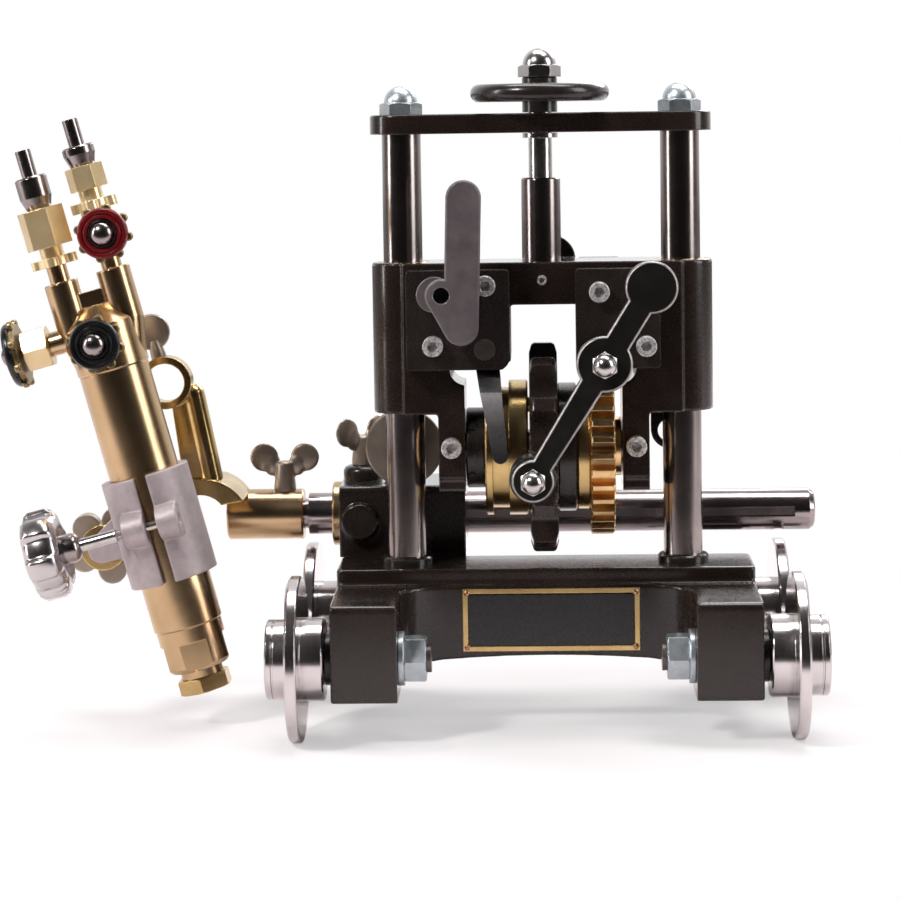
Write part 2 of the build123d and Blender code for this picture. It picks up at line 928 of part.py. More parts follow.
def bronze_bushes():
    bushes = []
    for side in (1, -1):
        outer = post_r + bush_wall
        for z0 in (carriage_bottom, carriage_top - bush_length):
            ring = cyl_z(outer, z0, z0 + bush_length, side * post_x)
            bushes.append(ring - cyl_z(post_r + run_fit, z0 - overrun, z0 + bush_length + overrun,
                                       side * post_x))
        lug = ring_x(shaft_bush_r, shaft_r + run_fit, lug_in, lug_out, 0, shaft_z)
        bushes.append(lug if side > 0 else mirror_x(lug))
    return Compound(bushes)


def drive_shaft():
    end = lug_out - edge_soft
    shaft = cyl_x(shaft_r, -end, end, 0, shaft_z)
    return chamfer(shaft.edges().filter_by(GeomType.CIRCLE), edge_soft)


def on_shaft(shape):
    return Pos(0, 0, shaft_z) * shape


def chain_sprocket():
    half = sprocket_width / 2
    pitch_r = chain_pitch / (2 * math.sin(math.pi / tooth_count))
    blank = turned_x([(-half, 0), (-half, sprocket_tip - sprocket_chamfer * 2),
                      (-half + sprocket_chamfer / 2, sprocket_tip - edge_soft),
                      (-half + sprocket_chamfer, sprocket_tip),
                      (half - sprocket_chamfer, sprocket_tip),
                      (half - sprocket_chamfer / 2, sprocket_tip - edge_soft),
                      (half, sprocket_tip - sprocket_chamfer * 2), (half, 0)])
    flank = math.radians(tooth_flank)
    reach = sprocket_tip - pitch_r + overrun
    mouth = roller_r * math.cos(flank) + (reach + roller_r * math.sin(flank)) * math.tan(flank)
    gap = outline((-roller_r * math.cos(flank), pitch_r - roller_r * math.sin(flank)),
                  (roller_r * math.cos(flank), pitch_r - roller_r * math.sin(flank)),
                  (mouth, pitch_r + reach), (-mouth, pitch_r + reach))
    gap += Pos(0, pitch_r) * Circle(roller_r)
    cutter = prism_x(gap, -half - overrun, half + overrun)
    for index in range(tooth_count):
        angle = (index + 0.5) * 360 / tooth_count
        blank -= Rot(angle, 0, 0) * cutter
    for index in range(dog_count):
        hole = cyl_x(dog_r + dog_gap, -half - overrun, -half + dog_length, 0, dog_ring)
        blank -= Rot(index * 360 / dog_count, 0, 0) * hole
    blank -= cyl_x(shaft_r + seat_gap, -half - overrun, half + overrun)
    return on_shaft(blank)


def shaft_disc(radius, x0, x1, soft):
    disc = turned_x([(x0, shaft_r + seat_gap), (x0, radius - soft), (x0 + soft, radius),
                     (x1 - soft, radius), (x1, radius - soft), (x1, shaft_r + seat_gap)])
    return on_shaft(disc)


def worm_wheel():
    """The bronze worm wheel. A gap between two teeth stands straight up under the worm."""
    blank = turned_x([(brass_hub_end, shaft_r + seat_gap), (brass_hub_end, gear_tip - edge_soft),
                      (brass_hub_end + edge_soft, gear_tip), (gear_end - edge_soft, gear_tip),
                      (gear_end, gear_tip - edge_soft), (gear_end, gear_boss_r),
                      (gear_boss_end, gear_boss_r), (gear_boss_end, shaft_r + seat_gap)])
    root_half = math.pi * gear_root / wheel_teeth - gear_root_land / 2
    tip_half = math.pi * gear_tip / wheel_teeth - gear_tip_land / 2
    gap = outline((-root_half, gear_root), (root_half, gear_root),
                  (tip_half, gear_tip), (tip_half, gear_tip + overrun),
                  (-tip_half, gear_tip + overrun), (-tip_half, gear_tip))
    cutter = prism_x(gap, brass_hub_end - overrun, gear_end + overrun)
    cutters = [Rot(index * 360 / wheel_teeth, 0, 0) * cutter for index in range(wheel_teeth)]
    return on_shaft(blank - cutters)


def thrust_collar():
    disc = shaft_disc(collar_disc_r, -collar_disc_out, -collar_disc_in, edge_soft)
    middle = -(collar_disc_in + collar_disc_out) / 2 - collar_screw_shift
    for turn in (1, -1):
        head = cyl_z(collar_screw_r, collar_disc_r - edge_soft,
                     collar_disc_r + collar_screw_head, middle)
        tilt = math.degrees(math.asin(collar_screw_out / collar_disc_r))
        disc += on_shaft(Rot(90 + turn * tilt, 0, 0) * head)
    return disc


def clutch_sleeve():
    """The brass sleeve that slides on the shaft and locks the sprocket to it."""
    bore = shaft_r + run_fit
    body = turned_x([
        (-sleeve_in, bore), (-sleeve_in, flange_r - edge_soft), (-sleeve_in - edge_soft, flange_r),
        (-groove_in, flange_r), (-groove_in, groove_r), (-groove_out, groove_r),
        (-groove_out, flange_r), (-sleeve_out + edge_soft, flange_r),
        (-sleeve_out, flange_r - edge_soft), (-sleeve_out, sleeve_recess_r),
        (-sleeve_out + sleeve_recess, sleeve_recess_r), (-sleeve_out + sleeve_recess, bore)])
    for index in range(dog_count):
        dog = cyl_x(dog_r, -sleeve_in - overrun, -sleeve_in + dog_length, 0, dog_ring)
        body += Rot(index * 360 / dog_count, 0, 0) * dog
    return on_shaft(body)


def clutch_fork():
    """The arm bends forward round the sleeve and ends in a pad in the sleeve's groove."""
    groove_mid = -(groove_in + groove_out) / 2
    face = bar((fork_pivot_x, fork_pivot_z), fork_top_width / 2,
               (groove_mid, shaft_z), fork_tip_width / 2)
    boss_front = front_y - fork_boss
    side = outline(
        (boss_front, fork_pivot_z + fork_boss_r), (boss_front, housing_bottom),
        (-fork_front, fork_knee_z), (-fork_front, shaft_z - fork_tip_width),
        (-fork_front + fork_thick, shaft_z - fork_tip_width),
        (-fork_front + fork_thick, fork_knee_z - fork_thick),
        (boss_front + fork_thick, housing_bottom - fork_thick),
        (boss_front + fork_thick, fork_pivot_z + fork_boss_r))
    arm = prism_y(face, -fork_front - overrun, front_y)
    arm = arm & prism_x(side, fork_pivot_x - fork_top_width, groove_mid + fork_top_width)
    boss = cyl_y(fork_boss_r, boss_front, front_y - side_gap, fork_pivot_x, fork_pivot_z)
    pad = cyl_y(fork_pad_r, -fork_front + fork_thick / 2, -groove_r - side_gap,
                groove_mid, shaft_z)
    bore = cyl_y(pin_r + run_fit, boss_front - overrun, front_y + overrun,
                 fork_pivot_x, fork_pivot_z)
    return arm + boss + pad - bore


def clutch_lever():
    head = (lever_head_x, lever_z + lever_head_rise)
    foot = (lever_foot_x, lever_z - lever_foot_drop)
    blade = bar(head, lever_half, foot, lever_half)
    blade += Pos(lever_x, lever_z) * Circle(lever_eye_r)
    blade += bar((lever_x, lever_z), lever_eye_r, foot, lever_half)
    body = prism_y(blade, -lever_front, -lever_front + lever_thick)
    body = chamfer(body.edges().group_by(Axis.Y)[0], edge_soft)
    return body - cyl_y(lever_hole_r, -lever_front - overrun, overrun, lever_x, lever_z)


def lever_cam():
    back = -lever_front + lever_thick
    cam = cyl_y(cam_r, back, front_y - housing_thick - side_gap, lever_x - cam_shift, lever_z)
    cam += cyl_y(lever_pin_r, back, -lever_pin_in + lever_pin_r * 3, lever_x, lever_z)
    return cam - cyl_y(lever_hole_r, back - overrun, back + cam_hole_deep, lever_x, lever_z)


def worm_shaft():
    z = worm_z()
    rear = back_y + rear_plate_thick + edge_soft
    shaft = cyl_y(worm_shaft_r, -worm_length / 2, rear, 0, 0)
    shaft += cyl_y(worm_shaft_r, -crank_front + crank_thick, -worm_length / 2, 0, 0)
    shaft -= cyl_y(worm_shaft_r + overrun, -worm_length / 2, worm_length / 2, 0, 0)
    shaft += cyl_y(worm_root, -worm_length / 2, worm_length / 2, 0, 0)
    shaft += cyl_y(grip_pin_r, -crank_front - acorn_hex, -crank_front + crank_thick, 0, 0)
    return Pos(worm_x, 0, z) * (shaft + worm_thread())


def worm_thread():
    """A right-hand thread of one start, whose middle turn points down at the worm wheel."""
    lead = math.pi * gear_module
    turns = math.floor(worm_length / lead)
    length = turns * lead
    root = worm_root - edge_soft / 2
    half_root = thread_root_half + edge_soft / 8
    path = Helix(lead, length, root)
    profile = Plane(path @ 0, x_dir=(1, 0, 0), z_dir=(0, -1, 0)) * outline(
        (0, -half_root), (worm_tip - root, -thread_tip_half),
        (worm_tip - root, thread_tip_half), (0, half_root))
    thread = sweep(profile, path=path, is_frenet=True)
    thread = Pos(0, 0, -length / 2) * thread
    start_turn = 180 if turns % 2 == 0 else 0
    return Rot(-90, 0, 0) * Rot(0, 0, start_turn - 90) * thread


def crank_point(reach):
    lean = math.radians(crank_lean)
    return (worm_x + reach * math.sin(lean), worm_z() + reach * math.cos(lean))


def crank_arm():
    middle = (worm_x, worm_z())
    top = crank_point(crank_top_reach)
    low = crank_point(-crank_low_reach)
    shape = Pos(*middle) * Circle(crank_mid_r) + Pos(*top) * Circle(crank_top_r)
    shape += Pos(*low) * Circle(crank_low_r)
    shape += bar(middle, bar_mid_half, top, bar_mid_half)
    shape += bar(middle, bar_mid_half, low, bar_low_half)
    arm = prism_y(shape, -crank_front, -crank_front + crank_thick)
    arm = chamfer(arm.edges().group_by(Axis.Y)[0], crank_chamfer)
    hub_end = front_y - housing_thick - side_gap
    arm += cyl_y(crank_hub_r, -crank_front + crank_thick, hub_end, *middle)
    arm -= cyl_y(worm_shaft_r + seat_gap, -crank_front + crank_thick, front_y, *middle)
    arm -= cyl_y(grip_pin_r + seat_gap, -crank_front - overrun, -crank_front + crank_thick, *middle)
    return arm - cyl_y(grip_pin_r + seat_gap, -crank_front - overrun, front_y, *low)


def crank_nuts():
    nuts = []
    for x, z in (crank_point(0), crank_point(-crank_low_reach)):
        acorn = dome_nut(acorn_af, acorn_hex, acorn_dome_r, grip_pin_r + seat_gap,
                         acorn_hex + seat_gap)
        nuts.append(Pos(x, -crank_front, z) * Rot(90, 0, 0) * Rot(0, 0, acorn_turn) * acorn)
    return Compound(nuts)


def grip_pin():
    x, z = crank_point(-crank_low_reach)
    back = -crank_front + crank_thick
    pin = cyl_y(grip_pin_r, -crank_front - acorn_hex, back + grip_length, x, z)
    return pin + cyl_y(grip_pin_r + edge_soft, back + grip_length, back + grip_length + edge_soft,
                       x, z)


def crank_grip():
    x, z = crank_point(-crank_low_reach)
    start = -crank_front + crank_thick + side_gap
    end = start + grip_length - 2 * side_gap
    middle = (start + end) / 2
    bore = grip_pin_r + run_fit
    half = (end - start) / 2
    body = turned_z([(bore, -half), (grip_r - edge_soft, -half), (grip_r, -half + edge_soft),
                     (grip_r - grip_waist, 0), (grip_r, half - edge_soft),
                     (grip_r - edge_soft, half), (bore, half)])
    return Pos(x, middle, z) * Rot(90, 0, 0) * body


def cross_rod():
    rod = cyl_x(rod_r, rod_left, rod_right - rod_nose, rod_back, rod_z)
    nose = turned_x([(rod_right - rod_nose, 0), (rod_right - rod_nose, rod_r),
                     (rod_right - rod_nose / 4, rod_r - rod_nose / 2),
                     (rod_right, rod_r - rod_nose), (rod_right, 0)])
    rod += Pos(0, rod_back, rod_z) * nose
    slot_back = rod_back - rod_r + keyway_deep
    rod -= block(block_left, rod_right - rod_r, slot_back - rod_r, slot_back,
                 rod_z - keyway_width / 2, rod_z + keyway_width / 2)
    return rod + cyl_x(spigot_r, socket_left + socket_end, rod_left, rod_back, rod_z)


def torch_socket():
    body = cyl_x(socket_r, socket_left, socket_right, rod_back, rod_z)
    body = chamfer(body.edges().filter_by(GeomType.CIRCLE), edge_soft)
    body -= cyl_x(spigot_r + run_fit, socket_left + socket_end - side_gap,
                  socket_right + overrun, rod_back, rod_z)
    seat = rod_z + socket_r - socket_seat
    body -= block(socket_wing_x - wing_hub_r - side_gap, socket_wing_x + wing_hub_r + side_gap,
                  rod_back - socket_r, rod_back + socket_r, seat, seat + socket_r)
    return body - cyl_z(rod_wing_shank_r + run_fit, rod_z, rod_z + socket_r, socket_wing_x,
                        rod_back)


def wing_screw(shank_r, shank_length):
    """A wing screw standing on z = 0, wings in the XZ plane, shank below."""
    hub = cyl_z(wing_hub_r, 0, wing_hub)
    hub = fillet(hub.edges().group_by(Axis.Z)[-1], wing_hub_r / 3)
    wing = bar((wing_reach, wing_lift), wing_r, (wing_root_x, wing_root_z), wing_root_r)
    wings = prism_y(wing, -wing_thick / 2, wing_thick / 2)
    body = hub + wings + mirror_x(wings)
    return body + cyl_z(shank_r, -shank_length, 0)


def socket_wing_screw():
    seat = rod_z + socket_r - socket_seat + side_gap
    shank = seat - rod_z - spigot_r - side_gap
    return Pos(socket_wing_x, rod_back, seat) * wing_screw(rod_wing_shank_r, shank)


def rod_clamp_block():
    """The black block behind the base that carries the cross rod."""
    half_depth = plate_depth / 2
    body = block(block_left, block_right, block_front, block_back, block_neck, block_top)
    body += block(block_left + bush_flange, block_right, half_depth, block_back - rod_r,
                  block_foot, block_neck)
    body = fillet(body.edges().filter_by(Axis.X).group_by(Axis.Z)[-1], plate_corner)
    body += cyl_y(pivot_boss_r, pivot_boss_front, block_front + rod_r, pivot_boss_x, rod_z)
    split = block(split_left, split_right, split_front, split_back, block_top - overrun, split_top)
    body += fillet(split.edges().filter_by(Axis.Y).group_by(Axis.Z)[-1], split_fillet)
    body -= base_casting()
    body -= cyl_x(rod_r + rod_bush_wall + seat_gap, block_left - overrun, block_right + overrun,
                  rod_back, rod_z)
    body -= cyl_y(knob_screw_r + run_fit, split_front - overrun, split_back + overrun,
                  knob_x, knob_z)
    return body - cyl_z(rod_wing_shank_r + run_fit, rod_z, block_top + overrun, rod_wing_x,
                        rod_back)


def rod_bush():
    outer = rod_r + rod_bush_wall
    bush = cyl_x(outer, block_left, block_right, rod_back, rod_z)
    flange = cyl_x(bush_flange_r, block_left - bush_flange, block_left, rod_back, rod_z)
    flange = chamfer(flange.edges().group_by(Axis.X)[0], edge_soft)
    bush += flange
    bush -= cyl_x(rod_r + run_fit, block_left - bush_flange - overrun, block_right + overrun,
                  rod_back, rod_z)
    return bush - cyl_z(rod_wing_shank_r + run_fit, rod_z, rod_z + bush_flange_r, rod_wing_x,
                        rod_back)


def rod_wing_screw():
    collar = cyl_z(rod_wing_collar_r, 0, rod_wing_collar)
    collar = fillet(collar.edges().group_by(Axis.Z)[-1], rod_wing_collar / 2)
    shank = block_top - rod_z - rod_r
    screw = Pos(0, 0, rod_wing_collar) * wing_screw(rod_wing_shank_r, rod_wing_collar / 2)
    screw = Rot(0, 0, rod_wing_turn) * screw
    screw += cyl_z(rod_wing_shank_r, -shank, 0)
    return Pos(rod_wing_x, rod_back, block_top + side_gap) * (screw + collar)


def rod_lock_knob():
    """A round knob on the screw that pinches the split top of the clamp block."""
    face = split_front - side_gap
    body = cyl_y(knob_hub_r, face - knob_hub, face, knob_x, knob_z)
    disc = cyl_y(knob_disc_r, face - knob_hub - knob_disc, face - knob_hub, knob_x, knob_z)
    disc = chamfer(disc.edges().filter_by(GeomType.CIRCLE), edge_soft)
    screw = cyl_y(knob_screw_r, face, split_back + lock_nut_thick, knob_x, knob_z)
    return body + disc + screw


def lock_nut():
    turned = Rot(0, 0, 90) * nut(lock_nut_af, lock_nut_thick, edge_soft,
                                 knob_screw_r + run_fit)
    return Pos(knob_x, split_back, knob_z) * turned


def torch_arm():
    """Brass arm on the socket: arched foot, link to the tilt pin, web, column and ring."""
    top = Polyline((tongue_crown_x, tongue_crown_z), (arch_x, foot_top_z), (foot_left, foot_top_z),
                   (foot_left, foot_low), (foot_knee, foot_low))
    arch = ThreePointArc((foot_knee, foot_low), (arch_x, arch_z), (heel_x, heel_z))
    tongue = Line((heel_x, heel_z), (tongue_x, foot_low))
    crown = ThreePointArc((tongue_x, foot_low), ((tongue_x * 2 + tongue_crown_x) / 3, arch_z
                                                 + overrun), (tongue_crown_x, tongue_crown_z))
    foot = prism_y(make_face([*top.edges(), arch, tongue, crown]), foot_front, foot_back)
    foot -= cyl_x(socket_r, socket_left, socket_right, rod_back, rod_z)
    link = bar((foot_left + link_half, foot_top_z - link_half), link_half,
               (tilt_x, tilt_z), link_half)
    link += Pos(tilt_x, tilt_z) * Circle(tilt_boss_r)
    link = prism_y(link, link_front, link_back)
    web = prism_y(outline(
        (web_left_low, foot_top_z - overrun), (column_foot_x, foot_top_z - overrun),
        (column_head_x, web_head), (web_left_high, web_head)), web_front, web_back)
    ring = cyl_y(eye_r, eye_front, eye_back, eye_x, eye_z)
    body = foot + link + web + ring + column()
    body -= cyl_y(eye_bore, eye_front - overrun, eye_back + overrun, eye_x, eye_z)
    body -= at_eye(cyl_z(rod_wing_shank_r + run_fit, -eye_screw_hole, overrun))
    return body - cyl_y(tilt_pin_r + run_fit, link_front - overrun, link_back + overrun,
                        tilt_x, tilt_z)


def column():
    """The leaning round post on the arm's foot."""
    foot_z = foot_top_z - overrun
    run = column_head_x - column_foot_x
    rise = rod_z + column_rise - foot_z
    length = math.hypot(run, rise)
    post = cyl_z(column_r, 0, length) + Pos(0, 0, length) * Sphere(column_r)
    lean = math.degrees(math.atan2(run, rise))
    return Pos(column_foot_x, column_y, foot_z) * Rot(0, lean, 0) * post


def to_torch(shape):
    """From the torch's own upright frame to its tilted place on the machine."""
    return Pos(torch_x, torch_y, torch_z) * Rot(0, -torch_tilt, 0) * shape


def from_torch_point(x, z):
    tilt = math.radians(torch_tilt)
    dx = x - torch_x
    dz = z - torch_z
    return (dx * math.cos(tilt) + dz * math.sin(tilt), dz * math.cos(tilt) - dx * math.sin(tilt))


def torch_barrel():
    radius = torch_d / 2
    body = turned_z([(0, barrel_top), (radius, barrel_top), (radius, barrel_foot),
                     (head_r, barrel_foot - edge_soft), (head_r, head_foot + head_round),
                     (head_r - head_round, head_foot), (neck_r, head_foot),
                     (neck_r, nozzle_top), (0, nozzle_top)])
    flat = block(-head_r, head_r, -head_r - overrun, -flat_offset, head_foot - overrun, flat_top)
    for index in range(flat_count):
        body -= Rot(0, 0, flat_turn + index * 360 / flat_count) * flat
    body -= cyl_z(gas_bore, nozzle_top - overrun, nozzle_top + gas_bore_deep)
    return to_torch(body)


def nozzle_nut():
    thick = nozzle_top - nozzle_foot
    body = Rot(0, 90, 0) * nut(nozzle_af, thick, nut_crown, nozzle_bore)
    return to_torch(Pos(0, 0, nozzle_top) * body)


def torch_manifold():
    """The brass block on top of the barrel, with two branch tubes and three valve bosses."""
    radius = torch_d / 2
    body = turned_z([(0, barrel_top), (radius, barrel_top), (manifold_r, barrel_top + edge_soft),
                     (manifold_r, manifold_top), (manifold_r - manifold_taper,
                                                  manifold_top + manifold_taper),
                     (0, manifold_top + manifold_taper)])
    for side in (1, -1):
        tube = cyl_z(branch_r, branch_foot, branch_top, side * branch_x)
        body += chamfer(tube.edges().group_by(Axis.Z)[-1], edge_soft / 2)
        body += branch_root_tube(side)
        body += cyl_z(inlet_neck_r, branch_top, flange_h, side * branch_x)
    body += block(-branch_x, branch_x, -branch_r / 2, branch_r / 2, bridge_top - bridge_thick,
                  bridge_top)
    body += cyl_y(valve_neck_r, -valve_nut_front + edge_soft, 0, 0, black_valve_h)
    body += cyl_x(valve_neck_r, -side_nut_near, 0, 0, side_valve_h)
    return to_torch(body)


def branch_root_tube(side):
    """The slanted foot that leads a branch tube into the barrel."""
    run = branch_x - branch_root_x
    rise = branch_foot - branch_root
    root = cyl_z(branch_r, -math.hypot(run, rise), 0) + Sphere(branch_r)
    lean = side * math.degrees(math.atan2(run, rise))
    return Pos(side * branch_x, 0, branch_foot) * Rot(0, lean, 0) * root


def lobed_disc(ring, lobe_radius, lobes, thick):
    shape = Circle(ring)
    for index in range(lobes):
        shape += Rot(0, 0, index * 360 / lobes) * Pos(ring, 0) * Circle(lobe_radius)
    return extrude(shape, amount=thick)


def inlet_unions():
    """Brass pieces on the two branches: lobed flange and hex nut left, valve body right."""
    pieces = []
    left = Pos(-branch_x, 0, flange_h) * lobed_disc(flange_lobe_ring, flange_lobe_r,
                                                    flange_lobes, flange_high - flange_h)
    left += cyl_z(inlet_neck_r + edge_soft, flange_high, inlet_nut_low, -branch_x)
    hex_nut = Pos(-branch_x, 0, inlet_nut_low) * Rot(0, 0, inlet_nut_turn) * extrude(
        hexagon(inlet_nut_af), amount=inlet_nut_high - inlet_nut_low)
    pieces.append(left + hex_nut)
    right = cyl_z(body_r, flange_h, right_flange_h, branch_x)
    right += Pos(branch_x, 0, right_flange_h) * lobed_disc(
        flange_lobe_ring, flange_lobe_r, flange_lobes, right_flange_high - right_flange_h)
    right += cyl_z(inlet_neck_r + edge_soft, right_flange_high, right_nut_low, branch_x)
    right += Pos(branch_x, 0, right_nut_low) * extrude(
        hexagon(valve_nut_af), amount=right_nut_high - right_nut_low)
    right += cyl_y(valve_neck_r, -valve_nut_front + edge_soft, 0, red_valve_x, red_valve_h)
    pieces.append(right)
    return to_torch(Compound(pieces))


def hose_tails():
    """Chrome ferrules with the plain tails that the hoses push onto."""
    pieces = []
    for side, low, high in ((-1, inlet_nut_high, ferrule_high),
                            (1, right_nut_high, right_ferrule_high)):
        body = turned_z([(0, low), (ferrule_mouth_r, low), (ferrule_r, low + ferrule_mouth_r),
                         (ferrule_r, high - edge_soft), (ferrule_r - edge_soft, high), (0, high)])
        body += cyl_z(tail_r, high, high + tail_length)
        pieces.append(Pos(side * branch_x, 0, 0) * body)
    return to_torch(Compound(pieces))


def valve_nuts():
    """The gland nuts that the three valve spindles come out of."""
    pieces = []
    for u, h in ((0, black_valve_h), (red_valve_x, red_valve_h)):
        gland = Rot(0, 0, -90) * nut(valve_nut_af, valve_nut_length, edge_soft, valve_stem_r
                                     + run_fit)
        pieces.append(Pos(u, -valve_nut_front + edge_soft, h) * gland)
    side_length = side_nut_far - side_nut_near
    side_nut = nut(side_nut_af, side_length, nut_crown, valve_stem_r + run_fit)
    pieces.append(Pos(-side_nut_far, 0, side_valve_h) * side_nut)
    return to_torch(Compound(pieces))


def valve_knob(radius, thick, stem):
    """A lobed knob standing on z = 0, its spindle below and a domed nut on top."""
    shape = lobed_disc(radius, lobe_r, lobe_count, thick / 2)
    face = cyl_z(radius, thick / 2, thick)
    body = shape + chamfer(face.edges().group_by(Axis.Z)[-1], edge_soft)
    body += Pos(0, 0, thick) * Sphere(dome_nut_r) & cyl_z(radius, 0, thick + dome_nut_r)
    return body + cyl_z(valve_stem_r, -stem, 0)


def front_knob(u, h):
    base = valve_nut_front - edge_soft + valve_nut_length + side_gap
    knob = valve_knob(knob_r, knob_thick, valve_nut_length / 2)
    return to_torch(Pos(u, -base, h) * Rot(90, 0, 0) * knob)


def side_knob():
    knob = valve_knob(side_knob_r, side_knob_far - side_knob_near, valve_nut_length / 2)
    return to_torch(Pos(-side_knob_near, 0, side_valve_h) * Rot(0, -90, 0) * knob)


def torch_clamp():
    """The split aluminium clamp round the barrel, with the lug that carries the tilt pin."""
    inner = torch_d / 2 + run_fit
    outer = torch_d / 2 + clamp_wall
    body = cyl_z(outer, clamp_foot, clamp_top)
    boss_front = cyl_x(clamp_boss_r, clamp_boss_left, clamp_boss_right,
                       clamp_screw_y - torch_y, clamp_screw_h)
    body += boss_front
    body -= cyl_z(inner, clamp_foot - overrun, clamp_top + overrun)
    body -= block(clamp_slit_left, clamp_slit_right, clamp_screw_y - torch_y - clamp_boss_r
                  - overrun, 0, clamp_foot - overrun, clamp_top + overrun)
    body -= cyl_x(clamp_screw_r + run_fit, clamp_boss_left - overrun, clamp_boss_right,
                  clamp_screw_y - torch_y, clamp_screw_h)
    tilt_u, tilt_h = from_torch_point(tilt_x, tilt_z)
    plate_back = link_front - torch_y - lug_back_gap
    plate_front = plate_back - lug_plate_thick
    lug = bar((0, clamp_screw_h), outer - clamp_wall, (tilt_u, tilt_h), lug_end_r)
    lug = prism_y(lug, plate_front, plate_back)
    pad = block(-outer / 2, outer / 2, inner, plate_back, clamp_foot + clamp_wall,
                clamp_top - clamp_wall)
    pin_end = link_back - torch_y + star_thick + side_gap
    pin = cyl_y(tilt_pin_r, plate_back, pin_end, tilt_u, tilt_h)
    return to_torch(body + lug + pad + pin)


def tilt_knob():
    shape = Circle(star_hub_r)
    for index in range(star_lobes):
        angle = star_turn + index * 360 / star_lobes
        shape += Rot(0, 0, angle) * Pos(star_lobe_ring, 0) * Circle(star_lobe_r)
    start = link_back + side_gap
    body = prism_y(Pos(tilt_x, tilt_z) * shape, start, start + star_thick)
    body = chamfer(body.edges().group_by(Axis.Y)[-1], edge_soft)
    return body - cyl_y(tilt_pin_r + run_fit, start - overrun, start + star_thick + overrun,
                        tilt_x, tilt_z)


def clamp_knob():
    """The fluted chrome knob and its screw through the front bosses of the torch clamp."""
    shape = Circle(fluted_r)
    for index in range(flute_count):
        angle = index * 360 / flute_count
        shape -= Rot(0, 0, angle) * Pos(fluted_r + flute_r - flute_deep, 0) * Circle(flute_r)
    head = prism_x(shape, fluted_left, fluted_right)
    head = head & turned_x([
        (fluted_left, 0), (fluted_left, fluted_r - flute_r), (fluted_left + flute_deep,
                                                              fluted_r - edge_soft),
        (fluted_left + flute_r, fluted_r), (fluted_right - flute_deep, fluted_r),
        (fluted_right, fluted_r - flute_r), (fluted_right, 0)])
    neck = cyl_x(clamp_neck_r, fluted_right, fluted_right + clamp_neck)
    neck = chamfer(neck.edges().group_by(Axis.X)[-1], clamp_neck_r / 3)
    screw = cyl_x(clamp_screw_r, fluted_right, clamp_boss_right - edge_soft)
    return to_torch(Pos(0, clamp_screw_y - torch_y, clamp_screw_h) * (head + neck + screw))


def at_eye(shape):
    """Stands a piece on the ring of the arm, leaning as the torch leans."""
    tilted = Rot(0, -torch_tilt, 0) * Pos(0, 0, eye_r + side_gap) * shape
    return Pos(eye_x, (eye_front + eye_back) / 2, eye_z) * tilted


def eye_wing_screw():
    """A thumb screw with a flat round head."""
    head = cyl_y(eye_disc_r, -eye_disc / 2, eye_disc / 2, 0, eye_disc_lift)
    head = chamfer(head.edges().filter_by(GeomType.CIRCLE), eye_disc / 4)
    return at_eye(head + cyl_z(rod_wing_shank_r, side_gap - eye_screw_hole,
                               eye_disc_lift - eye_disc_r / 2))


def wheel_at(side, depth):
    body = wheel()
    if side < 0:
        body = mirror_x(body)
    return Pos(0, depth * axle_y, axle_z) * body


def pair_x(shape):
    return Compound([shape, mirror_x(shape)])


parts = {
    "base_casting": base_casting(),
    "name_plate": name_plate(),
    "axle_bolts": four_ways(axle_bolt()),
    "axle_and_post_nuts": Compound([four_ways(axle_nut()), pair_x(post_nut())]),
    "axle_washers": Compound([four_ways(axle_washer()), four_ways(wheel_spacer())]),
    "guide_posts": pair_x(guide_post()),
    "post_collars": pair_x(post_collar()),
    "top_plate": top_plate(),
    "rod_clamp_block": rod_clamp_block(),
    "rod_bush": rod_bush(),
    "wheel_front_left": wheel_at(-1, -1),
    "wheel_front_right": wheel_at(1, -1),
    "wheel_back_left": wheel_at(-1, 1),
    "wheel_back_right": wheel_at(1, 1),
    "carriage_casting": carriage_casting(),
    "lever_housing": lever_housing(),
    "worm_housing": worm_housing(),
    "rear_bearing_plate": rear_bearing_plate(),
    "carriage_screws": carriage_screws(),
    "fork_pin": fork_pin(),
    "bronze_bushes": bronze_bushes(),
    "lift_tube": lift_tube(),
    "feed_screw": feed_screw(),
    "feed_handwheel": feed_handwheel(),
    "handwheel_nut": handwheel_nut(),
    "drive_shaft": drive_shaft(),
    "chain_sprocket": chain_sprocket(),
    "sprocket_hub": shaft_disc(hub_plate_r, sprocket_width / 2, hub_plate_end, edge_soft),
    "worm_wheel_hub": shaft_disc(brass_hub_r, hub_plate_end, brass_hub_end, edge_soft),
    "worm_wheel": worm_wheel(),
    "thrust_collar": thrust_collar(),
    "clutch_sleeve": clutch_sleeve(),
    "clutch_fork": clutch_fork(),
    "clutch_lever": clutch_lever(),
    "lever_cam": lever_cam(),
    "worm_shaft": worm_shaft(),
    "crank_arm": crank_arm(),
    "crank_nuts": crank_nuts(),
    "grip_pin": grip_pin(),
    "crank_grip": crank_grip(),
    "cross_rod": cross_rod(),
    "torch_socket": torch_socket(),
    "socket_wing_screw": socket_wing_screw(),
    "rod_wing_screw": rod_wing_screw(),
    "rod_lock_knob": rod_lock_knob(),
    "rod_lock_nut": lock_nut(),
    "torch_arm": torch_arm(),
    "eye_wing_screw": eye_wing_screw(),
    "torch_clamp": torch_clamp(),
    "tilt_knob": tilt_knob(),
    "clamp_knob": clamp_knob(),
    "torch_barrel": torch_barrel(),
    "nozzle_nut": nozzle_nut(),
    "torch_manifold": torch_manifold(),
    "inlet_unions": inlet_unions(),
    "hose_tails": hose_tails(),
    "valve_nuts": valve_nuts(),
    "valve_knob_black": front_knob(0, black_valve_h),
    "valve_knob_red": front_knob(red_valve_x, red_valve_h),
    "valve_knob_side": side_knob(),
}

os.makedirs("parts", exist_ok=True)
for name, shape in parts.items():
    export_step(shape, f"parts/{name}.step")
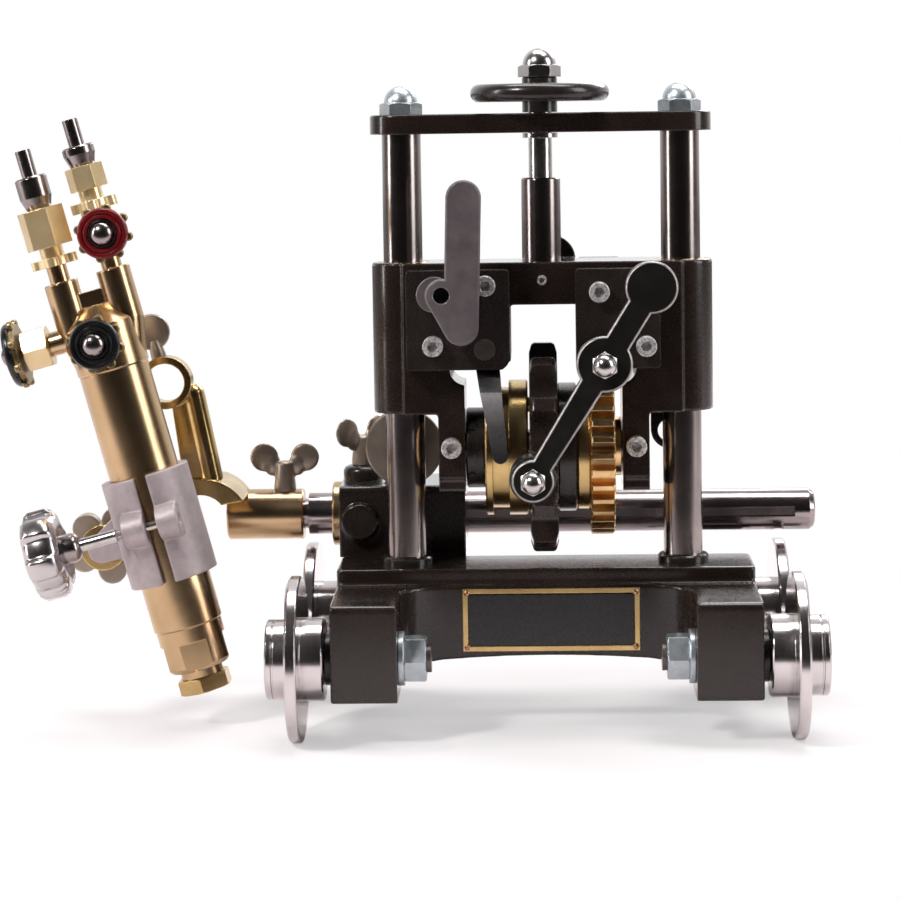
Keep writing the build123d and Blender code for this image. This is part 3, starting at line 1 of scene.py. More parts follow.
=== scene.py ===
import json
import math
import bpy
from mathutils import Matrix, Vector

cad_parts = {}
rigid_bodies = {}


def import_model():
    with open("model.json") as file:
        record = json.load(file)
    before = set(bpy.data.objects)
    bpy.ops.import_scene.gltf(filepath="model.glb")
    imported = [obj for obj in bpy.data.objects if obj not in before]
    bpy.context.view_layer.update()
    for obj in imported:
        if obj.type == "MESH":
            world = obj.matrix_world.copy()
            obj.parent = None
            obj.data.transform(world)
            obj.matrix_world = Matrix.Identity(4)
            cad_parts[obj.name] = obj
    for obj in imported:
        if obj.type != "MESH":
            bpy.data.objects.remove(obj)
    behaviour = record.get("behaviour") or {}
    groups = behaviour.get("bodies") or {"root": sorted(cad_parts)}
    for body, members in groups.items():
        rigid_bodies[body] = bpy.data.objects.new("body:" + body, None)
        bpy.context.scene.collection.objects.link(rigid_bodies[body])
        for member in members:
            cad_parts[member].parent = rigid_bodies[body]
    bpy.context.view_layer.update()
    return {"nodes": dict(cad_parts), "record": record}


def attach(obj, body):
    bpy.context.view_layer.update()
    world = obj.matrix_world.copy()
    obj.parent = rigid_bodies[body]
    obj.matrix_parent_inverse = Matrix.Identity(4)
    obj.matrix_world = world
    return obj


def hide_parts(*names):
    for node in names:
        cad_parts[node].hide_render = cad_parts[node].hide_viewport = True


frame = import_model()
nodes = frame["nodes"]
bodyOf = {n: b for b, ns in frame["record"]["behaviour"]["bodies"].items() for n in ns}
mm = 0.001

for leftover in list(bpy.data.objects):
    if leftover.type in {"LIGHT", "CAMERA"} or leftover.name == "Cube":
        bpy.data.objects.remove(leftover)


# Camera: stands where the photographer stood, level with the top of the posts
cameraSetup = {
    "place": (-0.0011, -1.3995, 0.3105),
    "yaw": 1.891,
    "down": 3.833,
    "roll": 0.847,
    "lens": 109.245,
    "lift": -0.16667,
}


def makeCamera(c):
    data = bpy.data.cameras.new("camera")
    data.sensor_width = 36
    data.lens = c["lens"]
    data.shift_y = c["lift"]
    data.clip_start, data.clip_end = 0.05, 60
    cam = bpy.data.objects.new("camera", data)
    bpy.context.scene.collection.objects.link(cam)
    cam.location = c["place"]
    turn = Matrix.Rotation(math.radians(c["yaw"]), 4, "Z")
    turn = turn @ Matrix.Rotation(math.radians(90 - c["down"]), 4, "X")
    turn = turn @ Matrix.Rotation(math.radians(-c["roll"]), 4, "Z")
    cam.rotation_euler = turn.to_euler()
    bpy.context.scene.camera = cam
    print("camera ready")


makeCamera(cameraSetup)


# Lamps: place and size in metres, all aimed at the middle of the machine
studio = {
    "key": {"place": (-1.3, -1.3, 1.7), "size": (0.40, 0.40), "watts": 32},
    "fill": {"place": (2.0, -0.7, 0.95), "size": (0.85, 1.7), "watts": 26},
    "top": {"place": (0.1, 0.2, 1.9), "size": (1.7, 0.6), "watts": 28},
    "rim": {"place": (0.7, 1.6, 1.2), "size": (1.2, 0.6), "watts": 14},
    "side": {"place": (-2.1, -0.5, 0.7), "size": (0.3, 1.4), "watts": 16},
}


def makeLamps(lamps, target):
    for name, s in lamps.items():
        data = bpy.data.lights.new(name + "Lamp", "AREA")
        data.shape = "RECTANGLE"
        data.size, data.size_y = s["size"]
        data.energy = s["watts"]
        lamp = bpy.data.objects.new(name + "Lamp", data)
        bpy.context.scene.collection.objects.link(lamp)
        lamp.location = s["place"]
        aim = Vector(target) - Vector(s["place"])
        lamp.rotation_euler = aim.to_track_quat("-Z", "Y").to_euler()


# The white room. The camera sees it white. Shiny pieces see it shaded by the way a ray looks, from the
# front (0) to the back (1). The matte floor is dark in front of the machine and pale under it. Metres.
studioRoom = {
    "shades": ((0.40, 0.070), (0.56, 0.12), (0.68, 0.45)),
    "front": (0.020, 0.018, 0.018), "backAt": 0.80, "matteShare": 0.38,
    "floorR": 9, "floorFront": -1.2, "floorDark": (0.035, 0.03, 0.03), "darkTo": 0.60,
    "floorPale": (0.90, 0.84, 0.85), "paleFrom": 0.76,
    "fadeFrom": 0.20, "fadeTo": 0.50, "fadeLow": 0.45,
}


def makeRoom(r):
    world = bpy.data.worlds.new("studioWorld")
    bpy.context.scene.world = world
    world.use_nodes = True
    tree = world.node_tree
    tree.nodes.clear()
    out = tree.nodes.new("ShaderNodeOutputWorld")
    white = tree.nodes.new("ShaderNodeBackground")
    room = tree.nodes.new("ShaderNodeBackground")
    mix = tree.nodes.new("ShaderNodeMixShader")
    path = tree.nodes.new("ShaderNodeLightPath")
    place = tree.nodes.new("ShaderNodeTexCoord")
    split = tree.nodes.new("ShaderNodeSeparateXYZ")
    ramp = tree.nodes.new("ShaderNodeValToRGB")
    both = tree.nodes.new("ShaderNodeMath")
    both.operation = "MAXIMUM"
    link = tree.links.new
    white.inputs["Strength"].default_value = 1.0
    white.inputs["Color"].default_value = (1, 1, 1, 1)
    link(place.outputs["Generated"], split.inputs[0])
    toBack = tree.nodes.new("ShaderNodeMapRange")
    toBack.inputs["From Min"].default_value = -1
    toBack.inputs["From Max"].default_value = 1
    link(split.outputs["Y"], toBack.inputs["Value"])
    link(toBack.outputs[0], ramp.inputs["Fac"])
    ramp.color_ramp.elements[0].position = 0.0
    ramp.color_ramp.elements[0].color = (*r["front"], 1)
    ramp.color_ramp.elements[1].position = r["backAt"]
    ramp.color_ramp.elements[1].color = (1.0, 1.0, 1.0, 1)
    for at, shade in r["shades"]:
        ramp.color_ramp.elements.new(at).color = (shade, shade * 0.95, shade * 0.95, 1)
    link(ramp.outputs["Color"], room.inputs["Color"])
    link(path.outputs["Is Camera Ray"], both.inputs[0])
    link(path.outputs["Is Transmission Ray"], both.inputs[1])
    link(both.outputs[0], mix.inputs["Fac"])
    shiny = tree.nodes.new("ShaderNodeMapRange")
    shiny.inputs["To Min"].default_value = r["matteShare"]
    shiny.inputs["To Max"].default_value = 1.0
    link(path.outputs["Is Glossy Ray"], shiny.inputs["Value"])
    link(shiny.outputs[0], room.inputs["Strength"])
    link(room.outputs[0], mix.inputs[1])
    link(white.outputs[0], mix.inputs[2])
    link(mix.outputs[0], out.inputs["Surface"])
    bpy.ops.mesh.primitive_circle_add(vertices=96, radius=r["floorR"], fill_type="NGON", location=(0, 0, 0))
    floor = bpy.context.object
    floor.name = "studioFloor"
    mat = bpy.data.materials.new("paleFloor")
    mat.use_nodes = True
    t = mat.node_tree
    t.nodes.clear()
    out = t.nodes.new("ShaderNodeOutputMaterial")
    matte = t.nodes.new("ShaderNodeBsdfDiffuse")
    ahead = t.nodes.new("ShaderNodeSeparateXYZ")
    tone = t.nodes.new("ShaderNodeValToRGB")
    depth = t.nodes.new("ShaderNodeMapRange")
    depth.inputs["From Min"].default_value = r["floorFront"]
    depth.inputs["From Max"].default_value = 0.0
    tone.color_ramp.elements[0].color = (*r["floorDark"], 1)
    tone.color_ramp.elements[0].position = r["darkTo"]
    tone.color_ramp.elements[1].color = (*r["floorPale"], 1)
    tone.color_ramp.elements[1].position = r["paleFrom"]
    glow = t.nodes.new("ShaderNodeEmission")
    glow.inputs["Strength"].default_value = 1.0
    mix = t.nodes.new("ShaderNodeMixShader")
    place = t.nodes.new("ShaderNodeTexCoord")
    far = t.nodes.new("ShaderNodeVectorMath")
    far.operation = "LENGTH"
    fade = t.nodes.new("ShaderNodeMapRange")
    fade.interpolation_type = "SMOOTHSTEP"
    fade.inputs["From Min"].default_value = r["fadeFrom"]
    fade.inputs["From Max"].default_value = r["fadeTo"]
    fade.inputs["To Min"].default_value = r["fadeLow"]
    path = t.nodes.new("ShaderNodeLightPath")
    seen = t.nodes.new("ShaderNodeMath")
    seen.operation = "MULTIPLY"
    t.links.new(place.outputs["Object"], far.inputs[0])
    t.links.new(place.outputs["Object"], ahead.inputs[0])
    t.links.new(ahead.outputs["Y"], depth.inputs["Value"])
    t.links.new(depth.outputs[0], tone.inputs["Fac"])
    t.links.new(tone.outputs["Color"], matte.inputs["Color"])
    t.links.new(far.outputs["Value"], fade.inputs["Value"])
    t.links.new(fade.outputs[0], seen.inputs[0])
    eye = t.nodes.new("ShaderNodeMath")
    eye.operation = "MAXIMUM"
    t.links.new(path.outputs["Is Camera Ray"], eye.inputs[0])
    t.links.new(path.outputs["Is Transmission Ray"], eye.inputs[1])
    t.links.new(eye.outputs[0], seen.inputs[1])
    t.links.new(seen.outputs[0], mix.inputs["Fac"])
    t.links.new(matte.outputs[0], mix.inputs[1])
    t.links.new(glow.outputs[0], mix.inputs[2])
    t.links.new(mix.outputs[0], out.inputs["Surface"])
    floor.data.materials.append(mat)
    print("room ready")


makeLamps(studio, (0, 0, 0.15))
makeRoom(studioRoom)
bpy.context.scene.view_settings.view_transform = "Standard"


# Finishes. Scales are in 1/m on object coordinates, so 500 is a 2 mm grain. A worn edge with its
# painted edge highlight is colour, metal and how much of the edge it takes.
finishes = {
    "castPaint": {"dark": (0.0160, 0.0098, 0.0077), "light": (0.0232, 0.0150, 0.0121), "metal": 0.0,
                  "rough": (0.22, 0.32), "mottle": 45, "grain": 900, "bump": 0.00007, "edge": 0.0010,
                  "shine": 0.20, "coat": 1.0, "edgeWearAndHighlight": ((0.115, 0.094, 0.088), 0.4, 0.45)},
    "blackSatin": {"dark": (0.0185, 0.0140, 0.0123), "light": (0.0265, 0.0205, 0.0180), "metal": 0.0,
                   "rough": (0.22, 0.31), "mottle": 70, "grain": 1400, "bump": 0.00004, "edge": 0.0005,
                   "shine": 0.30, "coat": 0.6, "edgeWearAndHighlight": ((0.17, 0.145, 0.14), 0.6, 0.6)},
    "crankBlack": {"dark": (0.0065, 0.0060, 0.0055), "light": (0.0125, 0.0112, 0.0100), "metal": 0.0,
                   "rough": (0.28, 0.42), "mottle": 120, "grain": 1500, "bump": 0.00006, "edge": 0.0004,
                   "shine": 0.28},
    "bareEdge": {"dark": (0.24, 0.22, 0.21), "light": (0.44, 0.41, 0.40), "metal": 1.0,
                 "rough": (0.30, 0.48), "mottle": 300, "grain": 1500, "bump": 0.00004, "edge": 0.0003},
    "chromePlate": {"dark": (0.54, 0.50, 0.50), "light": (0.64, 0.595, 0.595), "metal": 1.0,
                    "rough": (0.15, 0.22), "mottle": 40, "grain": 600, "bump": 0.00001, "edge": 0.0006},
    "knobChrome": {"dark": (0.46, 0.43, 0.43), "light": (0.56, 0.525, 0.525), "metal": 1.0,
                   "rough": (0.19, 0.26), "mottle": 40, "grain": 600, "bump": 0.00001, "edge": 0.0006},
    "darkChrome": {"dark": (0.24, 0.205, 0.20), "light": (0.36, 0.315, 0.31), "metal": 1.0,
                   "rough": (0.16, 0.26), "mottle": 60, "grain": 600, "bump": 0.00001, "edge": 0.0005},
    "zincSteel": {"dark": (0.42, 0.395, 0.385), "light": (0.60, 0.57, 0.56), "metal": 1.0,
                  "rough": (0.19, 0.265), "mottle": 160, "grain": 1400, "bump": 0.00006, "edge": 0.0005},
    "screwSteel": {"dark": (0.36, 0.34, 0.33), "light": (0.90, 0.87, 0.86), "metal": 0.45,
                   "rough": (0.18, 0.38), "mottle": 420, "grain": 620, "bump": 0.00022, "edge": 0.0006},
    "blueZinc": {"dark": (0.42, 0.46, 0.49), "light": (0.62, 0.67, 0.70), "metal": 0.85,
                 "rough": (0.26, 0.42), "mottle": 160, "grain": 1500, "bump": 0.00006, "edge": 0.0006},
    "blackOxide": {"dark": (0.014, 0.013, 0.012), "light": (0.038, 0.034, 0.032), "metal": 0.6,
                   "rough": (0.22, 0.36), "mottle": 160, "grain": 1500, "bump": 0.00005, "edge": 0.0006},
    # The fork's height bands are a painted highlight on its bare lower face
    "forkSteel": {"dark": (0.0052, 0.0044, 0.0041), "light": (0.0105, 0.0088, 0.0082), "metal": 0.25,
                  "rough": (0.24, 0.36), "mottle": 90, "grain": 1400, "bump": 0.00006, "edge": 0.0005,
                  "highlightBands": ((0.126, 0.010), (0.140, 0.022), (0.155, 0.085), (0.166, 0.26), (0.1715, 0.42),
                            (0.1728, 0.008), (0.190, 0.007))},
    "browned": {"dark": (0.085, 0.068, 0.062), "light": (0.150, 0.125, 0.115), "metal": 0.6,
                "rough": (0.26, 0.42), "mottle": 140, "grain": 1500, "bump": 0.00006, "edge": 0.0005},
    "taupeMetal": {"dark": (0.27, 0.215, 0.175), "light": (0.40, 0.335, 0.275), "metal": 0.7,
                   "rough": (0.29, 0.38), "mottle": 45, "grain": 1200, "bump": 0.00001, "edge": 0.0008},
    "brassPolished": {"dark": (0.46, 0.315, 0.13), "light": (0.62, 0.445, 0.205), "metal": 1.0,
                      "rough": (0.18, 0.26), "mottle": 45, "grain": 1200, "bump": 0.00002, "edge": 0.0006},
    "brassSatin": {"dark": (0.42, 0.285, 0.155), "light": (0.55, 0.385, 0.225), "metal": 1.0,
                   "rough": (0.20, 0.265), "mottle": 26, "grain": 900, "bump": 0.000015, "edge": 0.0006},
    "brassDull": {"dark": (0.20, 0.14, 0.065), "light": (0.38, 0.28, 0.155), "metal": 0.95,
                  "rough": (0.30, 0.44), "mottle": 80, "grain": 1200, "bump": 0.00006, "edge": 0.0007},
    "bronzeCut": {"dark": (0.58, 0.355, 0.155), "light": (0.86, 0.60, 0.31), "metal": 1.0,
                  "rough": (0.20, 0.265), "mottle": 110, "grain": 1300, "bump": 0.00005, "edge": 0.0007,
                  "edgeWearAndHighlight": ((0.86, 0.66, 0.38), 1.0, 0.6)},
    "greyLever": {"dark": (0.115, 0.094, 0.098), "light": (0.175, 0.150, 0.154), "metal": 0.25,
                  "rough": (0.30, 0.44), "mottle": 80, "grain": 1200, "bump": 0.00005, "edge": 0.0010,
                  "edgeWearAndHighlight": ((0.40, 0.37, 0.38), 0.9, 0.8)},
    "sandCast": {"dark": (0.385, 0.320, 0.330), "light": (0.485, 0.410, 0.420), "metal": 0.45,
                 "rough": (0.42, 0.58), "mottle": 150, "grain": 650, "bump": 0.00035, "edge": 0.0007,
                 "edgeWearAndHighlight": ((0.74, 0.70, 0.72), 0.9, 0.5)},
    "blackMoulded": {"dark": (0.006, 0.0058, 0.006), "light": (0.012, 0.0115, 0.012), "metal": 0.0,
                     "rough": (0.18, 0.30), "mottle": 120, "grain": 1300, "bump": 0.00003, "edge": 0.0008,
                     "shine": 0.4},
    "redMoulded": {"dark": (0.105, 0.004, 0.006), "light": (0.20, 0.008, 0.011), "metal": 0.0,
                   "rough": (0.16, 0.28), "mottle": 120, "grain": 1300, "bump": 0.00003, "edge": 0.0008},
    "brassPale": {"dark": (0.72, 0.53, 0.27), "light": (0.90, 0.72, 0.44), "metal": 0.55,
                  "rough": (0.20, 0.265), "mottle": 45, "grain": 900, "bump": 0.00001, "edge": 0.0007},
    "copperRivet": {"dark": (0.42, 0.20, 0.11), "light": (0.62, 0.34, 0.20), "metal": 1.0,
                    "rough": (0.24, 0.40), "mottle": 300, "grain": 1500, "bump": 0.00004, "edge": 0.0003},
    "plateEnamel": {"dark": (0.005, 0.005, 0.005), "light": (0.010, 0.009, 0.008), "metal": 0.0,
                    "rough": (0.20, 0.34), "mottle": 120, "grain": 1600, "bump": 0.00004, "edge": 0.0003},
    "groundPost": {"dark": (0.215, 0.185, 0.177), "light": (0.325, 0.285, 0.275), "metal": 1.0,
                   "rough": (0.15, 0.23), "mottle": 30, "grain": 900, "bump": 0.000004, "edge": 0.0005,
                   "lines": (30, 30, 1600)},
    "groundRod": {"dark": (0.27, 0.23, 0.23), "light": (0.42, 0.365, 0.365), "metal": 1.0,
                  "rough": (0.14, 0.22), "mottle": 30, "grain": 900, "bump": 0.00001, "edge": 0.0005,
                  "lines": (2600, 30, 30)},
}


def makeFinish(name, f):
    mat = bpy.data.materials.new(name)
    mat.use_nodes = True
    t = mat.node_tree
    t.nodes.clear()
    link = t.links.new
    out = t.nodes.new("ShaderNodeOutputMaterial")
    skin = t.nodes.new("ShaderNodeBsdfPrincipled")
    link(skin.outputs[0], out.inputs["Surface"])
    skin.inputs["Metallic"].default_value = f["metal"]
    skin.inputs["Specular IOR Level"].default_value = f.get("shine", 0.5)
    skin.inputs["Coat Weight"].default_value = f.get("coat", 0)
    skin.inputs["Coat Roughness"].default_value = 0.12
    skin.inputs["Coat IOR"].default_value = 1.33
    place = t.nodes.new("ShaderNodeTexCoord")
    mottle = t.nodes.new("ShaderNodeTexNoise")
    mottle.inputs["Scale"].default_value = f["mottle"]
    mottle.inputs["Detail"].default_value = 6
    mottle.inputs["Roughness"].default_value = 0.65
    link(place.outputs["Object"], mottle.inputs["Vector"])
    tint = t.nodes.new("ShaderNodeValToRGB")
    tint.color_ramp.elements[0].position = 0.32
    tint.color_ramp.elements[0].color = (*f["dark"], 1)
    tint.color_ramp.elements[1].position = 0.70
    tint.color_ramp.elements[1].color = (*f["light"], 1)
    link(mottle.outputs["Fac"], tint.inputs["Fac"])
    link(tint.outputs["Color"], skin.inputs["Base Color"])
    grain = t.nodes.new("ShaderNodeTexNoise")
    grain.inputs["Scale"].default_value = f["grain"]
    grain.inputs["Detail"].default_value = 3
    link(place.outputs["Object"], grain.inputs["Vector"])
    sheen = t.nodes.new("ShaderNodeMapRange")
    sheen.inputs["From Min"].default_value = 0.3
    sheen.inputs["From Max"].default_value = 0.7
    sheen.inputs["To Min"].default_value = f["rough"][0]
    sheen.inputs["To Max"].default_value = f["rough"][1]
    wear = t.nodes.new("ShaderNodeMath")
    wear.operation = "ADD"
    half = t.nodes.new("ShaderNodeMath")
    half.operation = "MULTIPLY"
    half.inputs[1].default_value = 0.5
    link(mottle.outputs["Fac"], wear.inputs[0])
    link(grain.outputs["Fac"], wear.inputs[1])
    link(wear.outputs[0], half.inputs[0])
    link(half.outputs[0], sheen.inputs["Value"])
    link(sheen.outputs[0], skin.inputs["Roughness"])
    soft = t.nodes.new("ShaderNodeBevel")
    soft.samples = 4
    soft.inputs["Radius"].default_value = f["edge"]
    bump = t.nodes.new("ShaderNodeBump")
    bump.inputs["Strength"].default_value = 0.5
    bump.inputs["Distance"].default_value = f["bump"]
    link(soft.outputs["Normal"], bump.inputs["Normal"])
    # Lighter edges: wear and a painted edge highlight
    if "edgeWearAndHighlight" in f:
        addEdgeWearAndHighlight(t, f, skin, tint, soft, mottle)
    # Painted highlight bands up the height
    if "highlightBands" in f:
        addPaintedHighlight(t, f, skin, tint, place)
    if "lines" in f:
        stretch = t.nodes.new("ShaderNodeMapping")
        stretch.inputs["Scale"].default_value = f["lines"]
        link(place.outputs["Object"], stretch.inputs["Vector"])
        lines = t.nodes.new("ShaderNodeTexNoise")
        lines.inputs["Scale"].default_value = 1
        lines.inputs["Detail"].default_value = 2
        link(stretch.outputs[0], lines.inputs["Vector"])
        link(lines.outputs["Fac"], bump.inputs["Height"])
    else:
        link(grain.outputs["Fac"], bump.inputs["Height"])
    link(bump.outputs["Normal"], skin.inputs["Normal"])
    return mat


# Edges rub bright and catch the light: where the rounded normal leaves the flat one, a lighter colour shows,
# partly wear and partly a painted edge highlight
def addEdgeWearAndHighlight(t, f, skin, tint, soft, mottle):
    link = t.links.new
    colour, metal, share = f["edgeWearAndHighlight"]
    shape = t.nodes.new("ShaderNodeNewGeometry")
    turn = t.nodes.new("ShaderNodeVectorMath")
    turn.operation = "DOT_PRODUCT"
    link(soft.outputs["Normal"], turn.inputs[0])
    link(shape.outputs["Normal"], turn.inputs[1])
    edge = t.nodes.new("ShaderNodeMapRange")
    edge.inputs["From Min"].default_value = 0.985
    edge.inputs["From Max"].default_value = 0.86
    edge.inputs["To Max"].default_value = share * 1.5
    link(turn.outputs["Value"], edge.inputs["Value"])
    uneven = t.nodes.new("ShaderNodeMath")
    uneven.operation = "MULTIPLY"
    uneven.use_clamp = True
    link(edge.outputs[0], uneven.inputs[0])
    link(mottle.outputs["Fac"], uneven.inputs[1])
    mix = t.nodes.new("ShaderNodeMix")
    mix.data_type = "RGBA"
    link(uneven.outputs[0], mix.inputs["Factor"])
    link(tint.outputs["Color"], mix.inputs["A"])
    mix.inputs["B"].default_value = (*colour, 1)
    link(mix.outputs["Result"], skin.inputs["Base Color"])
    bare = t.nodes.new("ShaderNodeMapRange")
    bare.inputs["To Min"].default_value = f["metal"]
    bare.inputs["To Max"].default_value = metal
    link(uneven.outputs[0], bare.inputs["Value"])
    link(bare.outputs[0], skin.inputs["Metallic"])


# Painted highlight: bands up the height, where the fork's bare lower face catches the light, added to the
# base colour: (height in m, shade)
def addPaintedHighlight(t, f, skin, tint, place):
    link = t.links.new
    low, high = f["highlightBands"][0][0], f["highlightBands"][-1][0]
    parts = t.nodes.new("ShaderNodeSeparateXYZ")
    link(place.outputs["Object"], parts.inputs[0])
    share = t.nodes.new("ShaderNodeMapRange")
    share.inputs["From Min"].default_value = low
    share.inputs["From Max"].default_value = high
    link(parts.outputs["Z"], share.inputs["Value"])
    ramp = t.nodes.new("ShaderNodeValToRGB")
    points = ramp.color_ramp.elements
    for height, shade in f["highlightBands"]:
        at = (height - low) / (high - low)
        point = points[0] if height == low else points[-1] if height == high else points.new(at)
        point.position = at
        point.color = (shade, shade * 0.95, shade * 0.96, 1)
    link(share.outputs[0], ramp.inputs["Fac"])
    mix = t.nodes.new("ShaderNodeMix")
    mix.data_type = "RGBA"
    mix.blend_type = "ADD"
    mix.inputs["Factor"].default_value = 1.0
    link(tint.outputs["Color"], mix.inputs["A"])
    link(ramp.outputs["Color"], mix.inputs["B"])
    link(mix.outputs["Result"], skin.inputs["Base Color"])


mats = {name: makeFinish(name, f) for name, f in finishes.items()}
print("finishes ready")

nodeFinish = {
    "castPaint": ["base_casting", "carriage_casting", "top_plate", "rod_clamp_block", "chain_sprocket"],
    "blackSatin": ["lever_housing", "worm_housing", "rear_bearing_plate", "feed_handwheel", "sprocket_hub",
                   "clutch_fork", "post_collars"],
    "crankBlack": ["crank_arm"],
    "chromePlate": ["wheel_front_left", "wheel_front_right", "wheel_back_left", "wheel_back_right"],
    "knobChrome": ["clamp_knob", "handwheel_nut"],
    "darkChrome": ["hose_tails"],
    "blackOxide": ["thrust_collar"],
    "screwSteel": ["carriage_screws"],
    "zincSteel": ["crank_nuts", "rod_lock_nut", "feed_screw", "worm_shaft", "grip_pin"],
    "blueZinc": ["axle_and_post_nuts", "axle_washers"],
    "browned": ["fork_pin", "axle_bolts"],
    "taupeMetal": ["socket_wing_screw", "eye_wing_screw", "tilt_knob", "rod_wing_screw", "rod_lock_knob"],
    "brassPolished": ["name_plate", "worm_wheel_hub", "clutch_sleeve", "torch_arm", "nozzle_nut"],
    "brassPale": ["inlet_unions", "valve_nuts"],
    "brassSatin": ["torch_barrel", "torch_manifold", "torch_socket", "rod_bush"],
    "bronzeCut": ["worm_wheel", "bronze_bushes"],
    "greyLever": ["clutch_lever", "lever_cam"],
    "sandCast": ["torch_clamp"],
    "blackMoulded": ["crank_grip", "valve_knob_black", "valve_knob_side"],
    "redMoulded": ["valve_knob_red"],
    "groundPost": ["guide_posts", "lift_tube"],
    "groundRod": ["cross_rod", "drive_shaft"],
}
for finish, names in nodeFinish.items():
    for n in names:
        nodes[n].data.materials.clear()
        nodes[n].data.materials.append(mats[finish])
left = sorted(set(nodes) - {n for names in nodeFinish.values() for n in names})
print("nodes dressed, without a finish:", left)


# Modelling helpers
def onlyThis(piece):
    for o in bpy.context.view_layer.objects:
        o.select_set(False)
    if piece:
        piece.select_set(True)
        bpy.context.view_layer.objects.active = piece


def applyAll(piece):
    onlyThis(piece)
    for m in list(piece.modifiers):
        bpy.ops.object.modifier_apply(modifier=m.name)


def settle(piece):
    onlyThis(piece)
    bpy.ops.object.transform_apply(location=True, rotation=True, scale=True)


def tidyNormals(piece):
    onlyThis(piece)
    bpy.ops.object.mode_set(mode="EDIT")
    bpy.ops.mesh.select_all(action="SELECT")
    bpy.ops.mesh.remove_doubles(threshold=0.00002)
    bpy.ops.mesh.normals_make_consistent(inside=False)
    bpy.ops.object.mode_set(mode="OBJECT")


# A turned piece grows up from a disc, ring by ring: (radius, height) in mm, along +Z.
def turned(name, rings, sides=64):
    onlyThis(None)
    r, h = rings[0]
    bpy.ops.mesh.primitive_circle_add(vertices=sides, radius=r * mm, fill_type="NGON",
                                      location=(0, 0, h * mm))
    piece = bpy.context.object
    piece.name = name
    onlyThis(piece)
    bpy.ops.object.mode_set(mode="EDIT")
    bpy.ops.mesh.select_all(action="SELECT")
    for nextR, nextH in rings[1:]:
        bpy.ops.mesh.extrude_region_move(TRANSFORM_OT_translate={"value": (0, 0, (nextH - h) * mm)})
        k = nextR / r
        if k != 1:
            bpy.ops.transform.resize(value=(k, k, 1), center_override=(0, 0, 0))
        r, h = nextR, nextH
    bpy.ops.mesh.select_all(action="SELECT")
    bpy.ops.mesh.normals_make_consistent(inside=False)
    bpy.ops.object.mode_set(mode="OBJECT")
    settle(piece)
    bpy.ops.object.shade_smooth_by_angle(angle=math.radians(40))
    return piece


def joined(name, parts):
    onlyThis(parts[0])
    for p in parts:
        p.select_set(True)
    bpy.ops.object.join()
    piece = bpy.context.object
    piece.name = name
    return piece


# Melts joined shapes into one cast piece
def melted(piece, voxel, rounds):
    settle(piece)
    m = piece.modifiers.new("melt", "REMESH")
    m.mode = "VOXEL"
    m.voxel_size = voxel * mm
    m.adaptivity = 0
    s = piece.modifiers.new("soften", "SMOOTH")
    s.factor = 0.5
    s.iterations = rounds
    applyAll(piece)
    onlyThis(piece)
    bpy.ops.object.shade_smooth()
    return piece


def place(piece, at=(0, 0, 0), turns=()):
    m = Matrix.Translation(Vector(at) * mm)
    for axis, degrees in turns:
        m = m @ Matrix.Rotation(math.radians(degrees), 4, axis)
    piece.matrix_world = m @ piece.matrix_world
    settle(piece)
    return piece


# The torch's own upright frame, tilted into place as on the machine
torchAt = {"x": -209.3, "y": -15.0, "z": 147.6, "tilt": 15.0}


def onTorch(piece, at=(0, 0, 0), turns=()):
    place(piece, at, turns=turns)
    m = Matrix.Translation(Vector((torchAt["x"], torchAt["y"], torchAt["z"])) * mm)
    m = m @ Matrix.Rotation(math.radians(-torchAt["tilt"]), 4, "Y")
    piece.matrix_world = m @ piece.matrix_world
    settle(piece)
    return piece


def finish(piece, finishName, body, slot=None, stands=()):
    piece.data.materials.clear()
    piece.data.materials.append(mats[finishName])
    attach(piece, body)
    if stands:
        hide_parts(*stands)
    return piece


# A copy of a CAD piece, to be worked on
def nodeCopy(node, ending):
    source = nodes[node]
    piece = source.copy()
    piece.data = source.data.copy()
    piece.name = node + ending
    piece.parent = None
    for key in list(piece.keys()):
        del piece[key]
    bpy.context.scene.collection.objects.link(piece)
    tidyNormals(piece)
    return piece


# Cast pieces: the edges are rounded by melting
def castCopy(node, voxel, finishName, slot):
    piece = melted(nodeCopy(node, "Cast"), voxel, 2)
    return finish(piece, finishName, bodyOf[node], slot, (node,))


# Machined pieces: the edges are broken by a small bevel
def edgedCopy(node, width, finishName, slot, segments=2):
    piece = nodeCopy(node, "Edged")
    sharp = math.radians(38)
    onlyThis(piece)
    bpy.ops.object.mode_set(mode="EDIT")
    bpy.ops.mesh.select_all(action="SELECT")
    bpy.ops.mesh.dissolve_limited(angle_limit=math.radians(1.5))
    bpy.ops.object.mode_set(mode="OBJECT")
    b = piece.modifiers.new("edges", "BEVEL")
    b.width = width * mm
    b.segments = segments
    b.limit_method = "ANGLE"
    b.angle_limit = sharp
    b.use_clamp_overlap = True
    applyAll(piece)
    bpy.ops.object.shade_smooth_by_angle(angle=sharp)
    flat = piece.modifiers.new("flatFaces", "WEIGHTED_NORMAL")
    flat.keep_sharp = True
    flat.weight = 100
    applyAll(piece)
    return finish(piece, finishName, bodyOf[node], slot, (node,))


# Gives the faces that pass a test a second finish
def faceFinish(piece, finishName, test):
    piece.data.materials.append(mats[finishName])
    index = len(piece.data.materials) - 1
    count = 0
    for face in piece.data.polygons:
        if test(face.normal, face.center / mm):
            face.material_index = index
            count += 1
    print(piece.name, finishName, "faces", count)


# Wing screws: a cone hub with two fat rounded wings, melted together
wingScrew = {"hubFoot": 5.9, "hubTop": 4.6, "hubHigh": 16.0, "wingR": 7.7, "reach": 10.9, "lift": 18.0,
             "thick": 3.4, "socketAt": (-139, 53, 111.7), "rodAt": (-97, 53, 117.8)}


